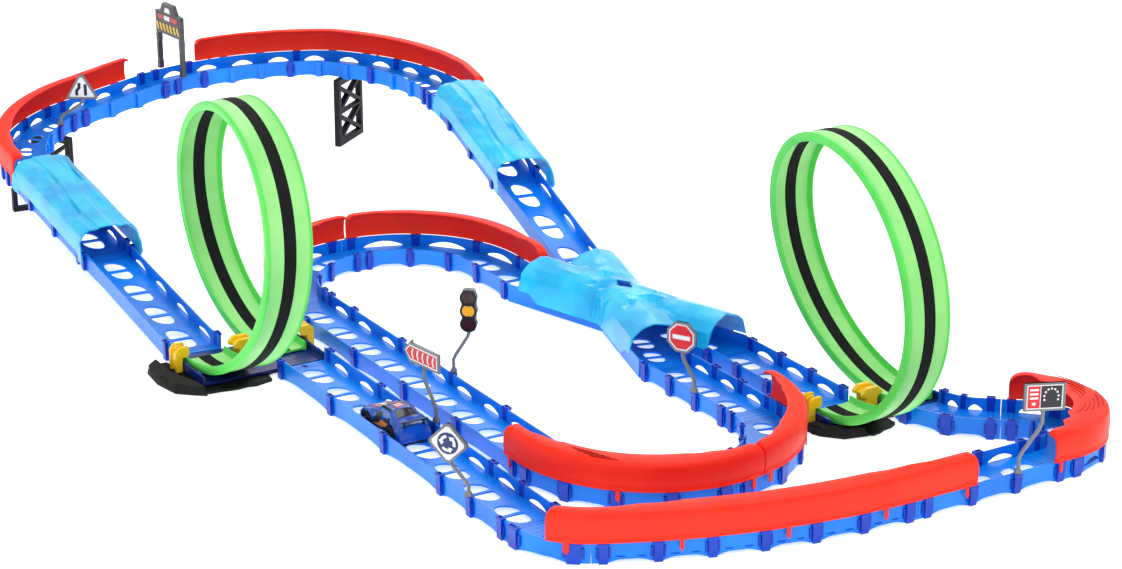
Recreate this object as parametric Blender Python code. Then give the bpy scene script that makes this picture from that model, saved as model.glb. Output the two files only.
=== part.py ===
"""Slot car track set: clip-together channel track with two vertical loops, an elevated half, a
crossing, curve guards, see-through covers, road signs, a gate, latches and one battery car.

All lengths are metres and +Z is up. +X runs along the four parallel lanes, +Y runs across them.
"""

import math

import bmesh
import bpy
from mathutils import Vector

MM = 0.001
HALF = 25.0 * MM            # half the outside width of a channel
INNER = 23.0 * MM           # half the inside width of a channel
WALL = 18.0 * MM            # height of a side wall
FLOOR_LOW = 4.0 * MM        # underside of the driving floor
FLOOR = 6.0 * MM            # driving surface
RIB_OUT = 28.5 * MM         # half the width over the rib sockets
RIB_HALF = 3.6 * MM         # half a rib's length along the lane
LANE = 70.0 * MM            # from one lane's centre to the next
INNER_R = 107.0 * MM        # centre radius of the inner half circles
GAP = 0.2 * MM              # half the gap between two clipped pieces
LOOP_HALF = 22.0 * MM       # half the width of a loop's strip
GUARD_HIGH = 46.0 * MM      # top of a curve guard above the channel's foot
COVER_SEAT = 18.4 * MM      # covers and guards rest just above the walls

Y_OUTER, Y_INNER, Y_NEAR, Y_FAR = -LANE, 0.0, 2 * INNER_R, 2 * INNER_R + LANE
X_CROSS_REAR, X_CROSS_FRONT = -15 * MM, 225 * MM
MIDDLE = (-39.0 * MM, 128.0 * MM, 0)   # the middle of the set's footprint in the layout below

COLOURS = {
    "blue": ((0.010, 0.115, 0.80, 1), 0.28),
    "red": ((0.85, 0.045, 0.01, 1), 0.32),
    "green": ((0.12, 0.80, 0.11, 1), 0.35),
    "cyan": ((0.05, 0.55, 0.85, 0.5), 0.2),
    "black": ((0.012, 0.012, 0.014, 1), 0.55),
    "navy": ((0.006, 0.02, 0.16, 1), 0.4),
    "yellow": ((0.95, 0.55, 0.01, 1), 0.35),
    "grey": ((0.20, 0.21, 0.23, 1), 0.45),
    "white": ((0.80, 0.80, 0.82, 1), 0.4),
    "tyre": ((0.015, 0.015, 0.015, 1), 0.8),
    "metal": ((0.55, 0.55, 0.57, 1), 0.3),
}


def clear_scene():
    for obj in list(bpy.data.objects):
        bpy.data.objects.remove(obj, do_unlink=True)


clear_scene()
SET = bpy.data.collections.new("slot_car_track_set")
CUTTERS = bpy.data.collections.new("cutters")
bpy.context.scene.collection.children.link(SET)
bpy.context.scene.collection.children.link(CUTTERS)


def finish_object(obj, colour, helper=False):
    if helper:
        CUTTERS.objects.link(obj)
        obj.hide_render = True
        obj.display_type = "WIRE"
        return obj
    SET.objects.link(obj)
    rgba, rough = COLOURS[colour]
    mat = bpy.data.materials.new(obj.name + "_material")
    mat.use_nodes = True
    shader = mat.node_tree.nodes["Principled BSDF"]
    shader.inputs["Base Color"].default_value = rgba
    shader.inputs["Alpha"].default_value = rgba[3]
    shader.inputs["Roughness"].default_value = rough
    mat.diffuse_color = rgba
    obj.data.materials.append(mat)
    return obj


def mesh_object(name, verts, faces, colour, pivot=(0, 0, 0), helper=False):
    mesh = bpy.data.meshes.new(name)
    p = Vector(pivot)
    mesh.from_pydata([Vector(v) - p for v in verts], [], faces)
    bm = bmesh.new()
    bm.from_mesh(mesh)
    bmesh.ops.recalc_face_normals(bm, faces=bm.faces)
    bm.to_mesh(mesh)
    bm.free()
    obj = bpy.data.objects.new(name, mesh)
    obj.location = p
    return finish_object(obj, colour, helper)


def rings_object(name, rings, colour, pivot=(0, 0, 0), helper=False):
    """A closed solid lofted through rings that all have the same number of points."""
    n = len(rings[0])
    verts = [v for ring in rings for v in ring]
    faces = [tuple(reversed(range(n)))]
    for i in range(len(rings) - 1):
        a, b = i * n, (i + 1) * n
        faces += [(a + j, a + (j + 1) % n, b + (j + 1) % n, b + j) for j in range(n)]
    faces.append(tuple(range((len(rings) - 1) * n, len(rings) * n)))
    return mesh_object(name, verts, faces, colour, pivot, helper)


def boolean(obj, other, operation):
    mod = obj.modifiers.new(operation.lower() + "_" + other.name, "BOOLEAN")
    mod.operation = operation
    mod.solver = "EXACT"
    mod.object = other
    return obj


def prism(name, outline, z0, z1, colour, helper=False, pivot=(0, 0, 0)):
    """An upright prism on a plan outline."""
    low = [(x, y, z0) for x, y in outline]
    high = [(x, y, z1) for x, y in outline]
    return rings_object(name, [low, high], colour, pivot, helper)


def plane_prism(name, outline, origin, u, n, thick, colour, helper=False, pivot=(0, 0, 0)):
    """An outline in the upright plane of u and +Z, thick along n."""
    o, u, n = Vector(origin), Vector(u), Vector(n)
    up = Vector((0, 0, 1))
    back = [o + u * a + up * b - n * thick / 2 for a, b in outline]
    front = [o + u * a + up * b + n * thick / 2 for a, b in outline]
    return rings_object(name, [back, front], colour, pivot, helper)


def rod(name, points, radius, sides, colour, helper=False, pivot=(0, 0, 0)):
    """A bar of regular section along a bent line."""
    pts = [Vector(p) for p in points]
    rings = []
    side = None
    for i, p in enumerate(pts):
        t = (pts[min(i + 1, len(pts) - 1)] - pts[max(i - 1, 0)]).normalized()
        if side is None:
            side = t.orthogonal().normalized()
        side = (side - t * side.dot(t)).normalized()
        up = t.cross(side)
        turn = [2 * math.pi * k / sides for k in range(sides)]
        rings.append([p + (side * math.cos(a) + up * math.sin(a)) * radius for a in turn])
    return rings_object(name, rings, colour, pivot, helper)


def frame_curve(name, loops, origin, u, thick, colour):
    """A flat frame with openings: poly splines in the upright plane of u and +Z, extruded."""
    data = bpy.data.curves.new(name, "CURVE")
    data.dimensions = "2D"
    data.fill_mode = "BOTH"
    data.extrude = thick / 2
    for loop in loops:
        spline = data.splines.new("POLY")
        spline.points.add(len(loop) - 1)
        for point, (a, b) in zip(spline.points, loop):
            point.co = (a, b, 0, 1)
        spline.use_cyclic_u = True
    obj = bpy.data.objects.new(name, data)
    obj.location = origin
    obj.rotation_euler = (math.pi / 2, 0, math.atan2(u[1], u[0]))
    return finish_object(obj, colour)


class Path:
    """A plan line of straights and arcs, with a height that changes along it."""

    def __init__(self, x, y, heading, parts, heights=((0, 0), (1, 0))):
        self.parts = []
        self.heights = heights
        self.length = 0.0
        h = math.radians(heading)
        for part in parts:
            if part[0] == "straight":
                length, radius, turn = part[1], None, 0.0
            else:
                radius, turn = part[1], math.radians(part[2])
                length = abs(radius * turn)
            self.parts.append((self.length, length, x, y, h, radius, turn))
            x, y, h = self.step(x, y, h, length, radius, turn, length)
            self.length += length

    @staticmethod
    def step(x, y, h, length, radius, turn, s):
        if radius is None:
            return x + s * math.cos(h), y + s * math.sin(h), h
        sign = 1 if turn > 0 else -1
        h2 = h + sign * s / radius
        x2 = x - sign * radius * (math.sin(h) - math.sin(h2))
        y2 = y + sign * radius * (math.cos(h) - math.cos(h2))
        return x2, y2, h2

    def at(self, s):
        for start, length, x, y, h, radius, turn in self.parts:
            if s <= start + length or start + length >= self.length - 1e-9:
                return self.step(x, y, h, length, radius, turn, s - start)
        return None

    def z(self, s):
        for (s0, z0), (s1, z1) in zip(self.heights, self.heights[1:]):
            if s <= s1:
                t = max(0.0, (s - s0) / (s1 - s0))
                return z0 + (z1 - z0) * t
        return self.heights[-1][1]

    def stops(self, s0, s1, degrees=15.0):
        """Places where a swept piece needs a section: its ends, arcs and changes of slope."""
        found = {s0, s1}
        for start, length, _x, _y, _h, radius, turn in self.parts:
            found |= {start, start + length}
            if radius:
                n = max(1, math.ceil(abs(math.degrees(turn)) / degrees))
                found |= {start + length * k / n for k in range(n + 1)}
        if len(self.heights) > 2:
            found |= {s for s, _z in self.heights}
        return sorted(s for s in found if s0 - 1e-9 <= s <= s1 + 1e-9)

    def place(self, s, across, up):
        """The point at this distance, this far to the left and this high above the foot."""
        x, y, h = self.at(s)
        return (x - across * math.sin(h), y + across * math.cos(h), self.z(s) + up)


def thin(stops, least=2.0 * MM):
    kept = [stops[0]]
    for s in stops[1:]:
        if s - kept[-1] > least:
            kept.append(s)
    if stops[-1] - kept[-1] > 1e-9:
        kept[-1] = stops[-1]
    return kept


def channel(name, path, s0, s1, ribs):
    """One track piece: a floor between two walls that stand on skirts, with rib sockets."""
    s0, s1 = s0 + GAP, s1 - GAP
    near = RIB_HALF + 1.2 * MM
    stations = []
    for s in thin(path.stops(s0, s1)):
        if not any(abs(s - r) < near + 0.6 * MM for r in ribs) or s in (s0, s1):
            stations.append((s, HALF))
    for r in ribs:
        for ds, out in ((-near, HALF), (-RIB_HALF, RIB_OUT), (RIB_HALF, RIB_OUT), (near, HALF)):
            stations.append((r + ds, out))
    stations.sort()
    rings = []
    for s, out in stations:
        section = [(-out, 0), (-INNER, 0), (-INNER, FLOOR_LOW), (INNER, FLOOR_LOW)]
        section += [(INNER, 0), (out, 0), (out, WALL), (INNER, WALL), (INNER, FLOOR)]
        section += [(-INNER, FLOOR), (-INNER, WALL), (-out, WALL)]
        rings.append([path.place(s, a, b) for a, b in section])
    return rings_object(name, rings, "blue")


def rib_places(s0, s1, bays):
    """The two ends of each bay, the outermost ones close to the piece's own ends."""
    a, b = s0 + 9 * MM, s1 - 9 * MM
    return [a + (b - a) * k / bays for k in range(bays + 1)]


# ---------------------------------------------------------------- the circuit's plan lines
X_FRONT = 368 * MM          # centre of the inner front half circle
X_REAR = -90 * MM           # centre of the inner rear half circle
INNER_LINE = Path(X_FRONT, Y_INNER, 180, [
    ("straight", X_FRONT - X_REAR), ("arc", INNER_R, -180), ("straight", X_CROSS_REAR - X_REAR)])
FRONT_LINE = Path(X_CROSS_FRONT, Y_NEAR, 0, [
    ("straight", X_FRONT - X_CROSS_FRONT), ("arc", INNER_R, -180), ("straight", 40 * MM)])
FAR_LINE = Path(X_CROSS_FRONT, Y_FAR, 0, [("straight", 160 * MM)])

X_LOOP_RIGHT, X_LOOP_LEFT = 404 * MM, 1 * MM
Y_EXIT = Y_FAR + 72 * MM
X_EXIT = 425 * MM
BEND_R, CORNER_R, SWEEP_R, TIGHT_R = 70 * MM, 43 * MM, 555 * MM, 45 * MM
X_OUTER_END = 46 * MM
OUTER_LINE = Path(X_EXIT, Y_EXIT, 0, [
    ("arc", BEND_R, 50), ("straight", 40 * MM), ("arc", CORNER_R, -140),
    ("straight", 169.5 * MM), ("arc", SWEEP_R, -28), ("arc", TIGHT_R, -62),
    ("straight", 429.6 * MM)])

RAMP_UP = 525 * MM
LEFT_R, RIGHT_R = 101 * MM, 213 * MM
START = (-33.6 * MM, -142 * MM)


def elevated_parts():
    """The straight between the two raised curves and the run down close the line on the crossing."""
    h0, turn1, h_end = 176.0, 76.0, -9.0
    turn2 = h0 - turn1 - h_end
    probe = Path(START[0], START[1], h0, [("straight", RAMP_UP), ("arc", LEFT_R, -turn1)])
    x1, y1, h1 = probe.at(probe.length)
    after = Path(0, 0, math.degrees(h1), [("arc", RIGHT_R, -turn2)])
    x2, y2, h2 = after.at(after.length)
    gx, gy = X_CROSS_REAR - x1 - x2, Y_FAR - y1 - y2
    det = math.cos(h1) * math.sin(h2) - math.sin(h1) * math.cos(h2)
    straight = (gx * math.sin(h2) - gy * math.cos(h2)) / det
    down = (math.cos(h1) * gy - math.sin(h1) * gx) / det
    return [("straight", RAMP_UP), ("arc", LEFT_R, -turn1), ("straight", straight),
            ("arc", RIGHT_R, -turn2), ("straight", down)]


ELEVATED = elevated_parts()
S1 = RAMP_UP
S2 = S1 + LEFT_R * math.radians(76)
S3 = S2 + ELEVATED[2][1]
S4 = S3 + RIGHT_R * math.radians(109)
S5 = S4 + ELEVATED[4][1]
HEIGHTS = ((0, 0), (30 * MM, 0), (S1, 28 * MM), (S2, 55 * MM), (S3, 70 * MM),
           ((S3 + S4) / 2, 82 * MM), (S4, 78 * MM), (S4 + 80 * MM, 70 * MM),
           (S5 - 18 * MM, 0), (S5, 0))
RAISED_LINE = Path(START[0], START[1], 176, ELEVATED, HEIGHTS)


# ---------------------------------------------------------------- track pieces
QUARTER = INNER_R * math.pi / 2
RUN = X_FRONT - X_REAR
NEAR_RUN = X_FRONT - X_CROSS_FRONT
EXIT_END = BEND_R * math.radians(50) + 20 * MM
CORNER_END = EXIT_END + 30 * MM + CORNER_R * math.radians(140)
SWEEP_START = CORNER_END + 159.5 * MM
SWEEP_END = SWEEP_START + SWEEP_R * math.radians(28)
TIGHT_END = SWEEP_END + TIGHT_R * math.radians(62) + 6 * MM

# name, line, where it starts and ends along the line, how many bays, the bay ends with no rib
TRACK = (
    ("track_inner", INNER_LINE, 0, RUN, 9, (1, 3, 5, 7)),
    ("curve_rear_left", INNER_LINE, RUN, RUN + QUARTER, 3, ()),
    ("curve_rear_right", INNER_LINE, RUN + QUARTER, INNER_LINE.length, 4, ()),
    ("track_near", FRONT_LINE, 0, NEAR_RUN, 3, ()),
    ("curve_front_right", FRONT_LINE, NEAR_RUN, NEAR_RUN + QUARTER, 4, ()),
    ("curve_front_left", FRONT_LINE, NEAR_RUN + QUARTER, NEAR_RUN + 2 * QUARTER, 4, ()),
    ("track_far", FAR_LINE, 0, FAR_LINE.length, 3, ()),
    ("track_loop_exit", OUTER_LINE, 0, EXIT_END, 2, ()),
    ("curve_corner_right", OUTER_LINE, EXIT_END, CORNER_END, 4, ()),
    ("track_front_right", OUTER_LINE, CORNER_END, SWEEP_START, 3, ()),
    ("track_front_sweep", OUTER_LINE, SWEEP_START, SWEEP_END, 6, ()),
    ("curve_corner_left", OUTER_LINE, SWEEP_END, TIGHT_END, 1, ()),
    ("track_outer", OUTER_LINE, TIGHT_END, OUTER_LINE.length, 8, (3, 5, 7)),
    ("ramp_up_lower", RAISED_LINE, 0, S1 / 2, 4, (1, 2, 3)),
    ("ramp_up_upper", RAISED_LINE, S1 / 2, S1, 3, ()),
    ("raised_curve_left", RAISED_LINE, S1, S2, 4, ()),
    ("raised_straight", RAISED_LINE, S2, S3, 3, ()),
    ("raised_curve_right", RAISED_LINE, S3, S4, 10, ()),
    ("ramp_down", RAISED_LINE, S4, S5 - 4.6 * MM, 6, (4, 5)),
)


def build_track():
    for name, line, start, end, bays, bare in TRACK:
        places = rib_places(start, end, bays)
        channel(name, line, start, end, [s for k, s in enumerate(places) if k not in bare])


def rib_at(name, number):
    """How far along its line a track piece's rib is."""
    _name, _line, start, end, bays, _bare = next(row for row in TRACK if row[0] == name)
    return rib_places(start, end, bays)[number]


def cross_outline(half, reach, lift=0.0):
    """The plan outline of two lanes that swap sides, wider or narrower by half."""
    x0, x1 = X_CROSS_REAR - reach, X_CROSS_FRONT + reach
    slope = LANE / (X_CROSS_FRONT - X_CROSS_REAR)
    mid_x, mid_y = (X_CROSS_REAR + X_CROSS_FRONT) / 2, (Y_NEAR + Y_FAR) / 2
    wide = half * math.hypot(1, slope)
    out = slope * (x1 - mid_x)
    notch = wide / slope
    points = [(x0, mid_y - out - wide), (mid_x, mid_y - wide), (x1, mid_y - out - wide)]
    points += [(x1, mid_y - out + wide), (mid_x + notch, mid_y), (x1, mid_y + out - wide)]
    points += [(x1, mid_y + out + wide), (mid_x, mid_y + wide), (x0, mid_y + out + wide)]
    points += [(x0, mid_y + out - wide), (mid_x - notch, mid_y), (x0, mid_y - out + wide)]
    return points


def build_crossing():
    body = prism("crossing_track", cross_outline(HALF, -GAP), 0, WALL, "blue")
    inside = prism("cut_crossing", cross_outline(INNER, 5 * MM), FLOOR, WALL + 5 * MM, "blue", True)
    under = prism("cut_crossing_foot", cross_outline(INNER, 5 * MM), -5 * MM, FLOOR_LOW,
                  "blue", True)
    boolean(body, inside, "DIFFERENCE")
    boolean(body, under, "DIFFERENCE")


# ---------------------------------------------------------------- loops, bases and latches
LOOP_SEAT = 9.0 * MM


def loop_point(x0, y0, sign, wide, high, lean, turn):
    """The middle of the strip's driving face; turn runs from 0 to 1 round the loop."""
    a = 2 * math.pi * min(max(turn, 0.0), 1.0)
    lead = 14 * MM * (min(turn, 0.0) + max(turn - 1.0, 0.0)) * 20
    x = x0 + sign * (wide * math.sin(a) + lead) + lean * (1 - math.cos(a)) / 2
    y = y0 + 70 * MM * a / (2 * math.pi) * sign
    return Vector((x, y, LOOP_SEAT + high * (1 - math.cos(a))))


def build_loop(name, x0, y0, sign, wide, high, lean, steps=30):
    turns = [-0.05] + [k / steps for k in range(steps + 1)] + [1.05]
    rings = []
    for t in turns:
        p = loop_point(x0, y0, sign, wide, high, lean, t)
        ahead = loop_point(x0, y0, sign, wide, high, lean, t + 0.004)
        behind = loop_point(x0, y0, sign, wide, high, lean, t - 0.004)
        along = (ahead - behind).normalized()
        across = Vector((0, 1, 0))
        across = (across - along * across.dot(along)).normalized()
        inward = across.cross(along) if sign < 0 else along.cross(across)
        w, e = LOOP_HALF, LOOP_HALF - 2.4 * MM
        section = [(-w, -2.5), (w, -2.5), (w, 6), (e, 6), (e, 0), (-e, 0), (-e, 6), (-w, 6)]
        rings.append([p + across * a + inward * (b * MM) for a, b in section])
    return rings_object(name, rings, "green")


def build_base(side, outline, kerb, x0, x1, y_mid, half):
    """The black rock-like foot, and the dark deck on it that carries the ends of a loop."""
    rock = prism("loop_base_" + side, outline, 0, 3 * MM, "black")
    lump = prism("add_kerb_" + side, kerb, 0.5 * MM, 9 * MM, "black", True)
    boolean(rock, lump, "UNION")
    rings = []
    for x in (x0, x1):
        w, e = half, half - 2 * MM
        section = [(-w, 3.3), (w, 3.3), (w, 13), (e, 13), (e, 6), (-e, 6), (-e, 13), (-w, 13)]
        rings.append([(x, y_mid + a, b * MM) for a, b in section])
    rings_object("loop_deck_" + side, rings, "navy")


def build_latch(name, x, y, out):
    """A latch that stands beside a strip's flange and hooks over it; out is its free side."""
    z = 3.4 * MM
    shape = [(0, 0), (7, 0), (7, 20), (3, 24), (-7, 24), (-7, 15), (-4, 13.6), (0, 13.6)]
    outline = [(a * MM * out, b * MM) for a, b in shape]
    pivot = (x, y + out * 7 * MM, z)
    if out < 0:
        outline.reverse()
    plane_prism(name, outline, (x, y, z), (0, 1, 0), (1, 0, 0), 16 * MM, "yellow", pivot=pivot)


def build_loops():
    build_loop("loop_left", X_LOOP_LEFT, -72 * MM, -1, 133 * MM, 122.5 * MM, 13 * MM)
    build_loop("loop_right", X_LOOP_RIGHT, 286 * MM, 1, 122 * MM, 118 * MM, -55 * MM)
    left = [(-30, -33), (44, -33), (44, -102), (60, -105), (62, -150), (55, -178)]
    left += [(40, -196), (10, -201), (-20, -198), (-36, -186), (-35, -175), (-30, -173)]
    left_kerb = [(60, -172), (52, -182), (40, -195), (10, -200), (-20, -197), (-34, -185)]
    left_kerb += [(-33, -183.5), (8, -184.5), (10, -178.5), (22, -179), (44, -172)]
    right = [(385.4, 396), (423.5, 396), (424, 325), (440, 322), (448, 290), (442, 262)]
    right += [(424, 247), (400, 243), (380, 247), (379, 253.5), (385.4, 255)]
    right_kerb = [(446, 285), (441, 263), (424, 248), (406, 244.5), (406, 255), (424, 257.4)]
    right_kerb += [(430, 262), (432, 284)]
    build_base("left", [(a * MM, b * MM) for a, b in left],
               [(a * MM, b * MM) for a, b in left_kerb], -30 * MM, 44 * MM, -107 * MM, 62 * MM)
    build_base("right", [(a * MM, b * MM) for a, b in right],
               [(a * MM, b * MM) for a, b in right_kerb], 385.4 * MM, 424 * MM, 321 * MM, 62 * MM)
    build_latch("latch_left_near", X_LOOP_LEFT - 8 * MM, -169.6 * MM, -1)
    build_latch("latch_left_far", X_LOOP_LEFT - 2 * MM, -44.4 * MM, 1)
    build_latch("latch_right_near", X_LOOP_RIGHT - 8 * MM, 258.4 * MM, -1)
    build_latch("latch_right_far", X_LOOP_RIGHT - 8 * MM, 383.6 * MM, 1)
    for side, x, y in (("left", X_LOOP_LEFT - 6 * MM, -107 * MM),
                       ("right", X_LOOP_RIGHT - 8 * MM, 321 * MM)):
        shape = [(-6, 0), (6, 0), (6, 9.6), (11, 10), (11, 14), (7, 18), (-7, 18), (-11, 14)]
        shape += [(-11, 10), (-6, 9.6)]
        plane_prism("latch_" + side + "_middle", [(a * MM, b * MM) for a, b in shape],
                    (x, y, 6.3 * MM), (0, 1, 0), (1, 0, 0), 16 * MM, "yellow")


# ---------------------------------------------------------------- guards and covers
def build_guard(name, path, s0, s1, side):
    """A tall shell outside a curve that leans inwards at the top, wider halfway along."""
    rings = []
    for s in thin(path.stops(s0, s1, 13.0), 4 * MM):
        t = (s - s0) / (s1 - s0)
        wide = 6 * MM * min(1.0, max(0.0, (0.5 - abs(t - 0.5)) * 5 - 0.6))
        top = GUARD_HIGH
        section = [(25.4, COVER_SEAT), (28.0, COVER_SEAT), (30.0, top * 0.66), (27.5, top - 3 * MM),
                   (18.0, top), (17.4, top - 2 * MM), (25.6, top - 5.2 * MM), (27.9, top * 0.66)]
        ring = []
        for k, (a, b) in enumerate(section):
            inward = wide if k in (4, 5) else 0.0
            ring.append(path.place(s, side * (a * MM - inward), b))
        rings.append(ring)
    return rings_object(name, rings, "red")


def build_guards():
    build_guard("guard_raised_left", RAISED_LINE, S1 - 42 * MM, S3 - 30 * MM, 1)
    build_guard("guard_raised_right", RAISED_LINE, S3 + 56 * MM, S4 + 46 * MM, 1)
    seam = RUN + QUARTER + 5 * MM
    build_guard("guard_rear_left", INNER_LINE, RUN - 20 * MM, seam - 0.8 * MM, 1)
    build_guard("guard_rear_right", INNER_LINE, seam + 0.8 * MM, RUN + 2 * QUARTER + 62 * MM, 1)
    seam = NEAR_RUN + QUARTER - 22 * MM
    build_guard("guard_front_right", FRONT_LINE, NEAR_RUN - 7 * MM, seam - 0.8 * MM, 1)
    build_guard("guard_front_left", FRONT_LINE, seam + 0.8 * MM,
                NEAR_RUN + 2 * QUARTER + 18 * MM, 1)
    build_guard("guard_corner_right", OUTER_LINE, EXIT_END + 6 * MM, CORNER_END + 16 * MM, 1)
    build_guard("guard_front_sweep", OUTER_LINE, SWEEP_START - 59 * MM, SWEEP_END + 23 * MM, 1)


def arch(half, seat, high, steps=8):
    """Half of an oval from the left seat over the lane to the right seat."""
    turns = [math.pi * k / steps for k in range(steps + 1)]
    return [(half * math.cos(a), seat + (high - seat) * math.sin(a) ** 0.7) for a in turns]


def build_tunnel(name, path, s0, s1):
    rings = []
    for s in thin(path.stops(s0, s1, 20.0), 8 * MM):
        t = (s - s0) / (s1 - s0)
        flare = 1 + 0.06 * (2 * t - 1) ** 4
        outer = arch(30.5 * MM * flare, COVER_SEAT, 48 * MM)
        inner = arch(28.7 * MM * flare, COVER_SEAT, 46 * MM)
        rings.append([path.place(s, a, b) for a, b in outer + inner[::-1]])
    return rings_object(name, rings, "cyan")


def cross_tube(name, half, high, low, reach, flip):
    """A solid half tube along one of the two crossing lanes; reach is (rear, front)."""
    y0, y1 = (Y_FAR, Y_NEAR) if flip else (Y_NEAR, Y_FAR)
    dx, dy = X_CROSS_FRONT - X_CROSS_REAR, y1 - y0
    length = math.hypot(dx, dy)
    ux, uy = dx / length, dy / length
    rings = []
    for s in (-reach[0], length + reach[1]):
        x, y = X_CROSS_REAR + ux * s, y0 + uy * s
        rings.append([(x - uy * a, y + ux * a, b) for a, b in arch(half, low, high)])
    return rings_object(name, rings, "cyan", helper=name != "crossing_cover")


def build_covers():
    build_tunnel("tunnel_left", RAISED_LINE, S1 - 277 * MM, S1 - 55 * MM)
    build_tunnel("tunnel_right", RAISED_LINE, S4 + 50 * MM, S4 + 236 * MM)
    near, far = (-10 * MM, 2 * MM), (-18 * MM, -12 * MM)
    cover = cross_tube("crossing_cover", 29.5 * MM, 47 * MM, COVER_SEAT, near, False)
    other = cross_tube("add_cover_arm", 29.5 * MM, 47 * MM, COVER_SEAT, far, True)
    through = (12 * MM, 12 * MM)
    first = cross_tube("cut_cover_one", 27.5 * MM, 45 * MM, COVER_SEAT - 3 * MM, through, False)
    second = cross_tube("cut_cover_two", 27.5 * MM, 45 * MM, COVER_SEAT - 3 * MM, through, True)
    boolean(cover, other, "UNION")
    boolean(cover, first, "DIFFERENCE")
    boolean(cover, second, "DIFFERENCE")


# ---------------------------------------------------------------- supports
def trestle(name, path, s, spread, holes):
    """A flat frame on the floor whose head is just below the channel's skirts."""
    x, y, h = path.at(s)
    u = (-math.sin(h), math.cos(h))
    high = path.z(s) - 1.2 * MM
    leg = 6.5 * MM
    w = spread
    outline = [(-w, 0), (-w + leg, 0), (w - leg, 0), (w, 0), (w, high), (-w, high)]
    loops = [outline]
    a, b = w - leg, w - leg
    top, low = high - 6 * MM, 5 * MM
    bay = (top - low) / holes
    for k in range(holes):
        z0, z1 = low + bay * k + 1.5 * MM, low + bay * (k + 1) - 1.5 * MM
        mid = (z0 + z1) / 2
        bar = 2.2 * MM
        loops.append([(-a, z0), (0, mid - bar), (b, z0)])
        loops.append([(-a, z1), (b, z1), (0, mid + bar)])
        loops.append([(-a, z0 + 2 * bar), (-2 * bar, mid), (-a, z1 - 2 * bar)])
        loops.append([(b, z0 + 2 * bar), (b, z1 - 2 * bar), (2 * bar, mid)])
    frame_curve(name, loops, (x, y, 0), u, 7 * MM, "black")


def low_support(name, path, s, spread):
    x, y, h = path.at(s)
    u = (-math.sin(h), math.cos(h))
    high = path.z(s) - 1.2 * MM
    w, leg = spread, 5 * MM
    outline = [(-w, 0), (w, 0), (w, high), (w - leg, high), (w - leg, 5 * MM)]
    outline += [(-w + leg, 5 * MM), (-w + leg, high), (-w, high)]
    frame_curve(name, [outline], (x, y, 0), u, 7 * MM, "black")


def build_supports():
    trestle("trestle_right", RAISED_LINE, S3 + 230 * MM, 33 * MM, 2)
    trestle("trestle_left", RAISED_LINE, S2 - 24 * MM, 30 * MM, 1)
    low_support("support_low", RAISED_LINE, S1 - 18 * MM, 25 * MM)


# ---------------------------------------------------------------- signs and gate
def build_sign(name, base, angle, shift, high, outline, depth=2.4 * MM):
    """A bent grey post that lifts out of its rib socket, with a plate at its head."""
    x, y, z = base
    u = Vector((math.cos(angle), math.sin(angle), 0))
    n = Vector((math.sin(angle), -math.cos(angle), 0))
    foot = Vector((x, y, z))
    bend = [foot, foot + Vector((0, 0, high * 0.22)), foot + u * shift + Vector((0, 0, high * 0.62))]
    bend.append(foot + u * shift + Vector((0, 0, high + 2 * MM)))
    post = rod(name, bend, 1.7 * MM, 6, "grey", pivot=foot)
    centre = foot + u * shift + n * 1.6 * MM + Vector((0, 0, high))
    plate = plane_prism("add_" + name, [(a * MM, b * MM) for a, b in outline], centre, u, n, depth,
                        "grey", helper=True)
    boolean(post, plate, "UNION")


def polygon(sides, radius, turn=0.0):
    angles = [2 * math.pi * k / sides + math.radians(turn) for k in range(sides)]
    return [(radius * math.cos(a), radius * math.sin(a)) for a in angles]


def rib_top(path, s, side, lift=0.3 * MM):
    return path.place(s, side * 26.8 * MM, WALL + lift)


def build_signs():
    triangle = [(-17, -11), (17, -11), (17, -8), (2, 17), (-2, 17), (-17, -8)]
    arrow = [(-26, 0), (-14, 12), (-14, 9), (25, 9), (25, -9), (-14, -9), (-14, -12)]
    panel = [(-20, -14), (20, -14), (20, 14), (-20, 14)]
    lamp = [(-6, -20), (6, -20), (8, -12), (8, 14), (5, 20), (-5, 20), (-8, 14), (-8, -12)]
    build_sign("sign_triangle", rib_top(RAISED_LINE, rib_at("raised_curve_left", 3), -1, 1.2 * MM),
               math.radians(58), 26 * MM, 42 * MM, triangle)
    build_sign("sign_arrow", rib_top(OUTER_LINE, rib_at("track_outer", 4), -1),
               math.radians(8), -17 * MM, 56 * MM, arrow)
    build_sign("sign_diamond", rib_top(OUTER_LINE, rib_at("track_outer", 1), 1),
               math.radians(34), -17 * MM, 45 * MM, polygon(4, 19, 0))
    build_sign("traffic_light", rib_top(INNER_LINE, rib_at("track_inner", 4), -1),
               math.radians(50), 15 * MM, 62 * MM, lamp, 9 * MM)
    build_sign("sign_octagon", rib_top(FRONT_LINE, rib_at("track_near", 2), -1),
               math.radians(30), -12 * MM, 51 * MM, polygon(8, 15.5, 22.5))
    build_sign("sign_panel", rib_top(OUTER_LINE, rib_at("track_front_right", 1), 1),
               math.radians(66), 20 * MM, 70 * MM, panel)


def build_gate():
    """Two posts on the raised straight that carry a peaked header over a striped board."""
    s = S3 + 17 * MM
    x, y, h = RAISED_LINE.at(s)
    z = RAISED_LINE.z(s) + WALL + 1.2 * MM
    u = (-math.sin(h), math.cos(h))
    outer = [(-29, 0), (-23.6, 0), (-23.6, 44), (23.6, 44), (23.6, 0), (29, 0), (29, 70)]
    outer += [(18, 71), (12, 81), (-12, 81), (-18, 71), (-29, 70)]
    frame_curve("gate", [[(a * MM, b * MM) for a, b in outer]], (x, y, z), u, 6 * MM, "grey")


# ---------------------------------------------------------------- the car
CAR_X = 231 * MM
CAR_Y = Y_OUTER
WHEEL_R = 7.2 * MM
AXLE_Z = FLOOR + 0.15 * MM + WHEEL_R
FRONT_X, REAR_X = CAR_X - 24 * MM, CAR_X + 22 * MM


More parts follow.
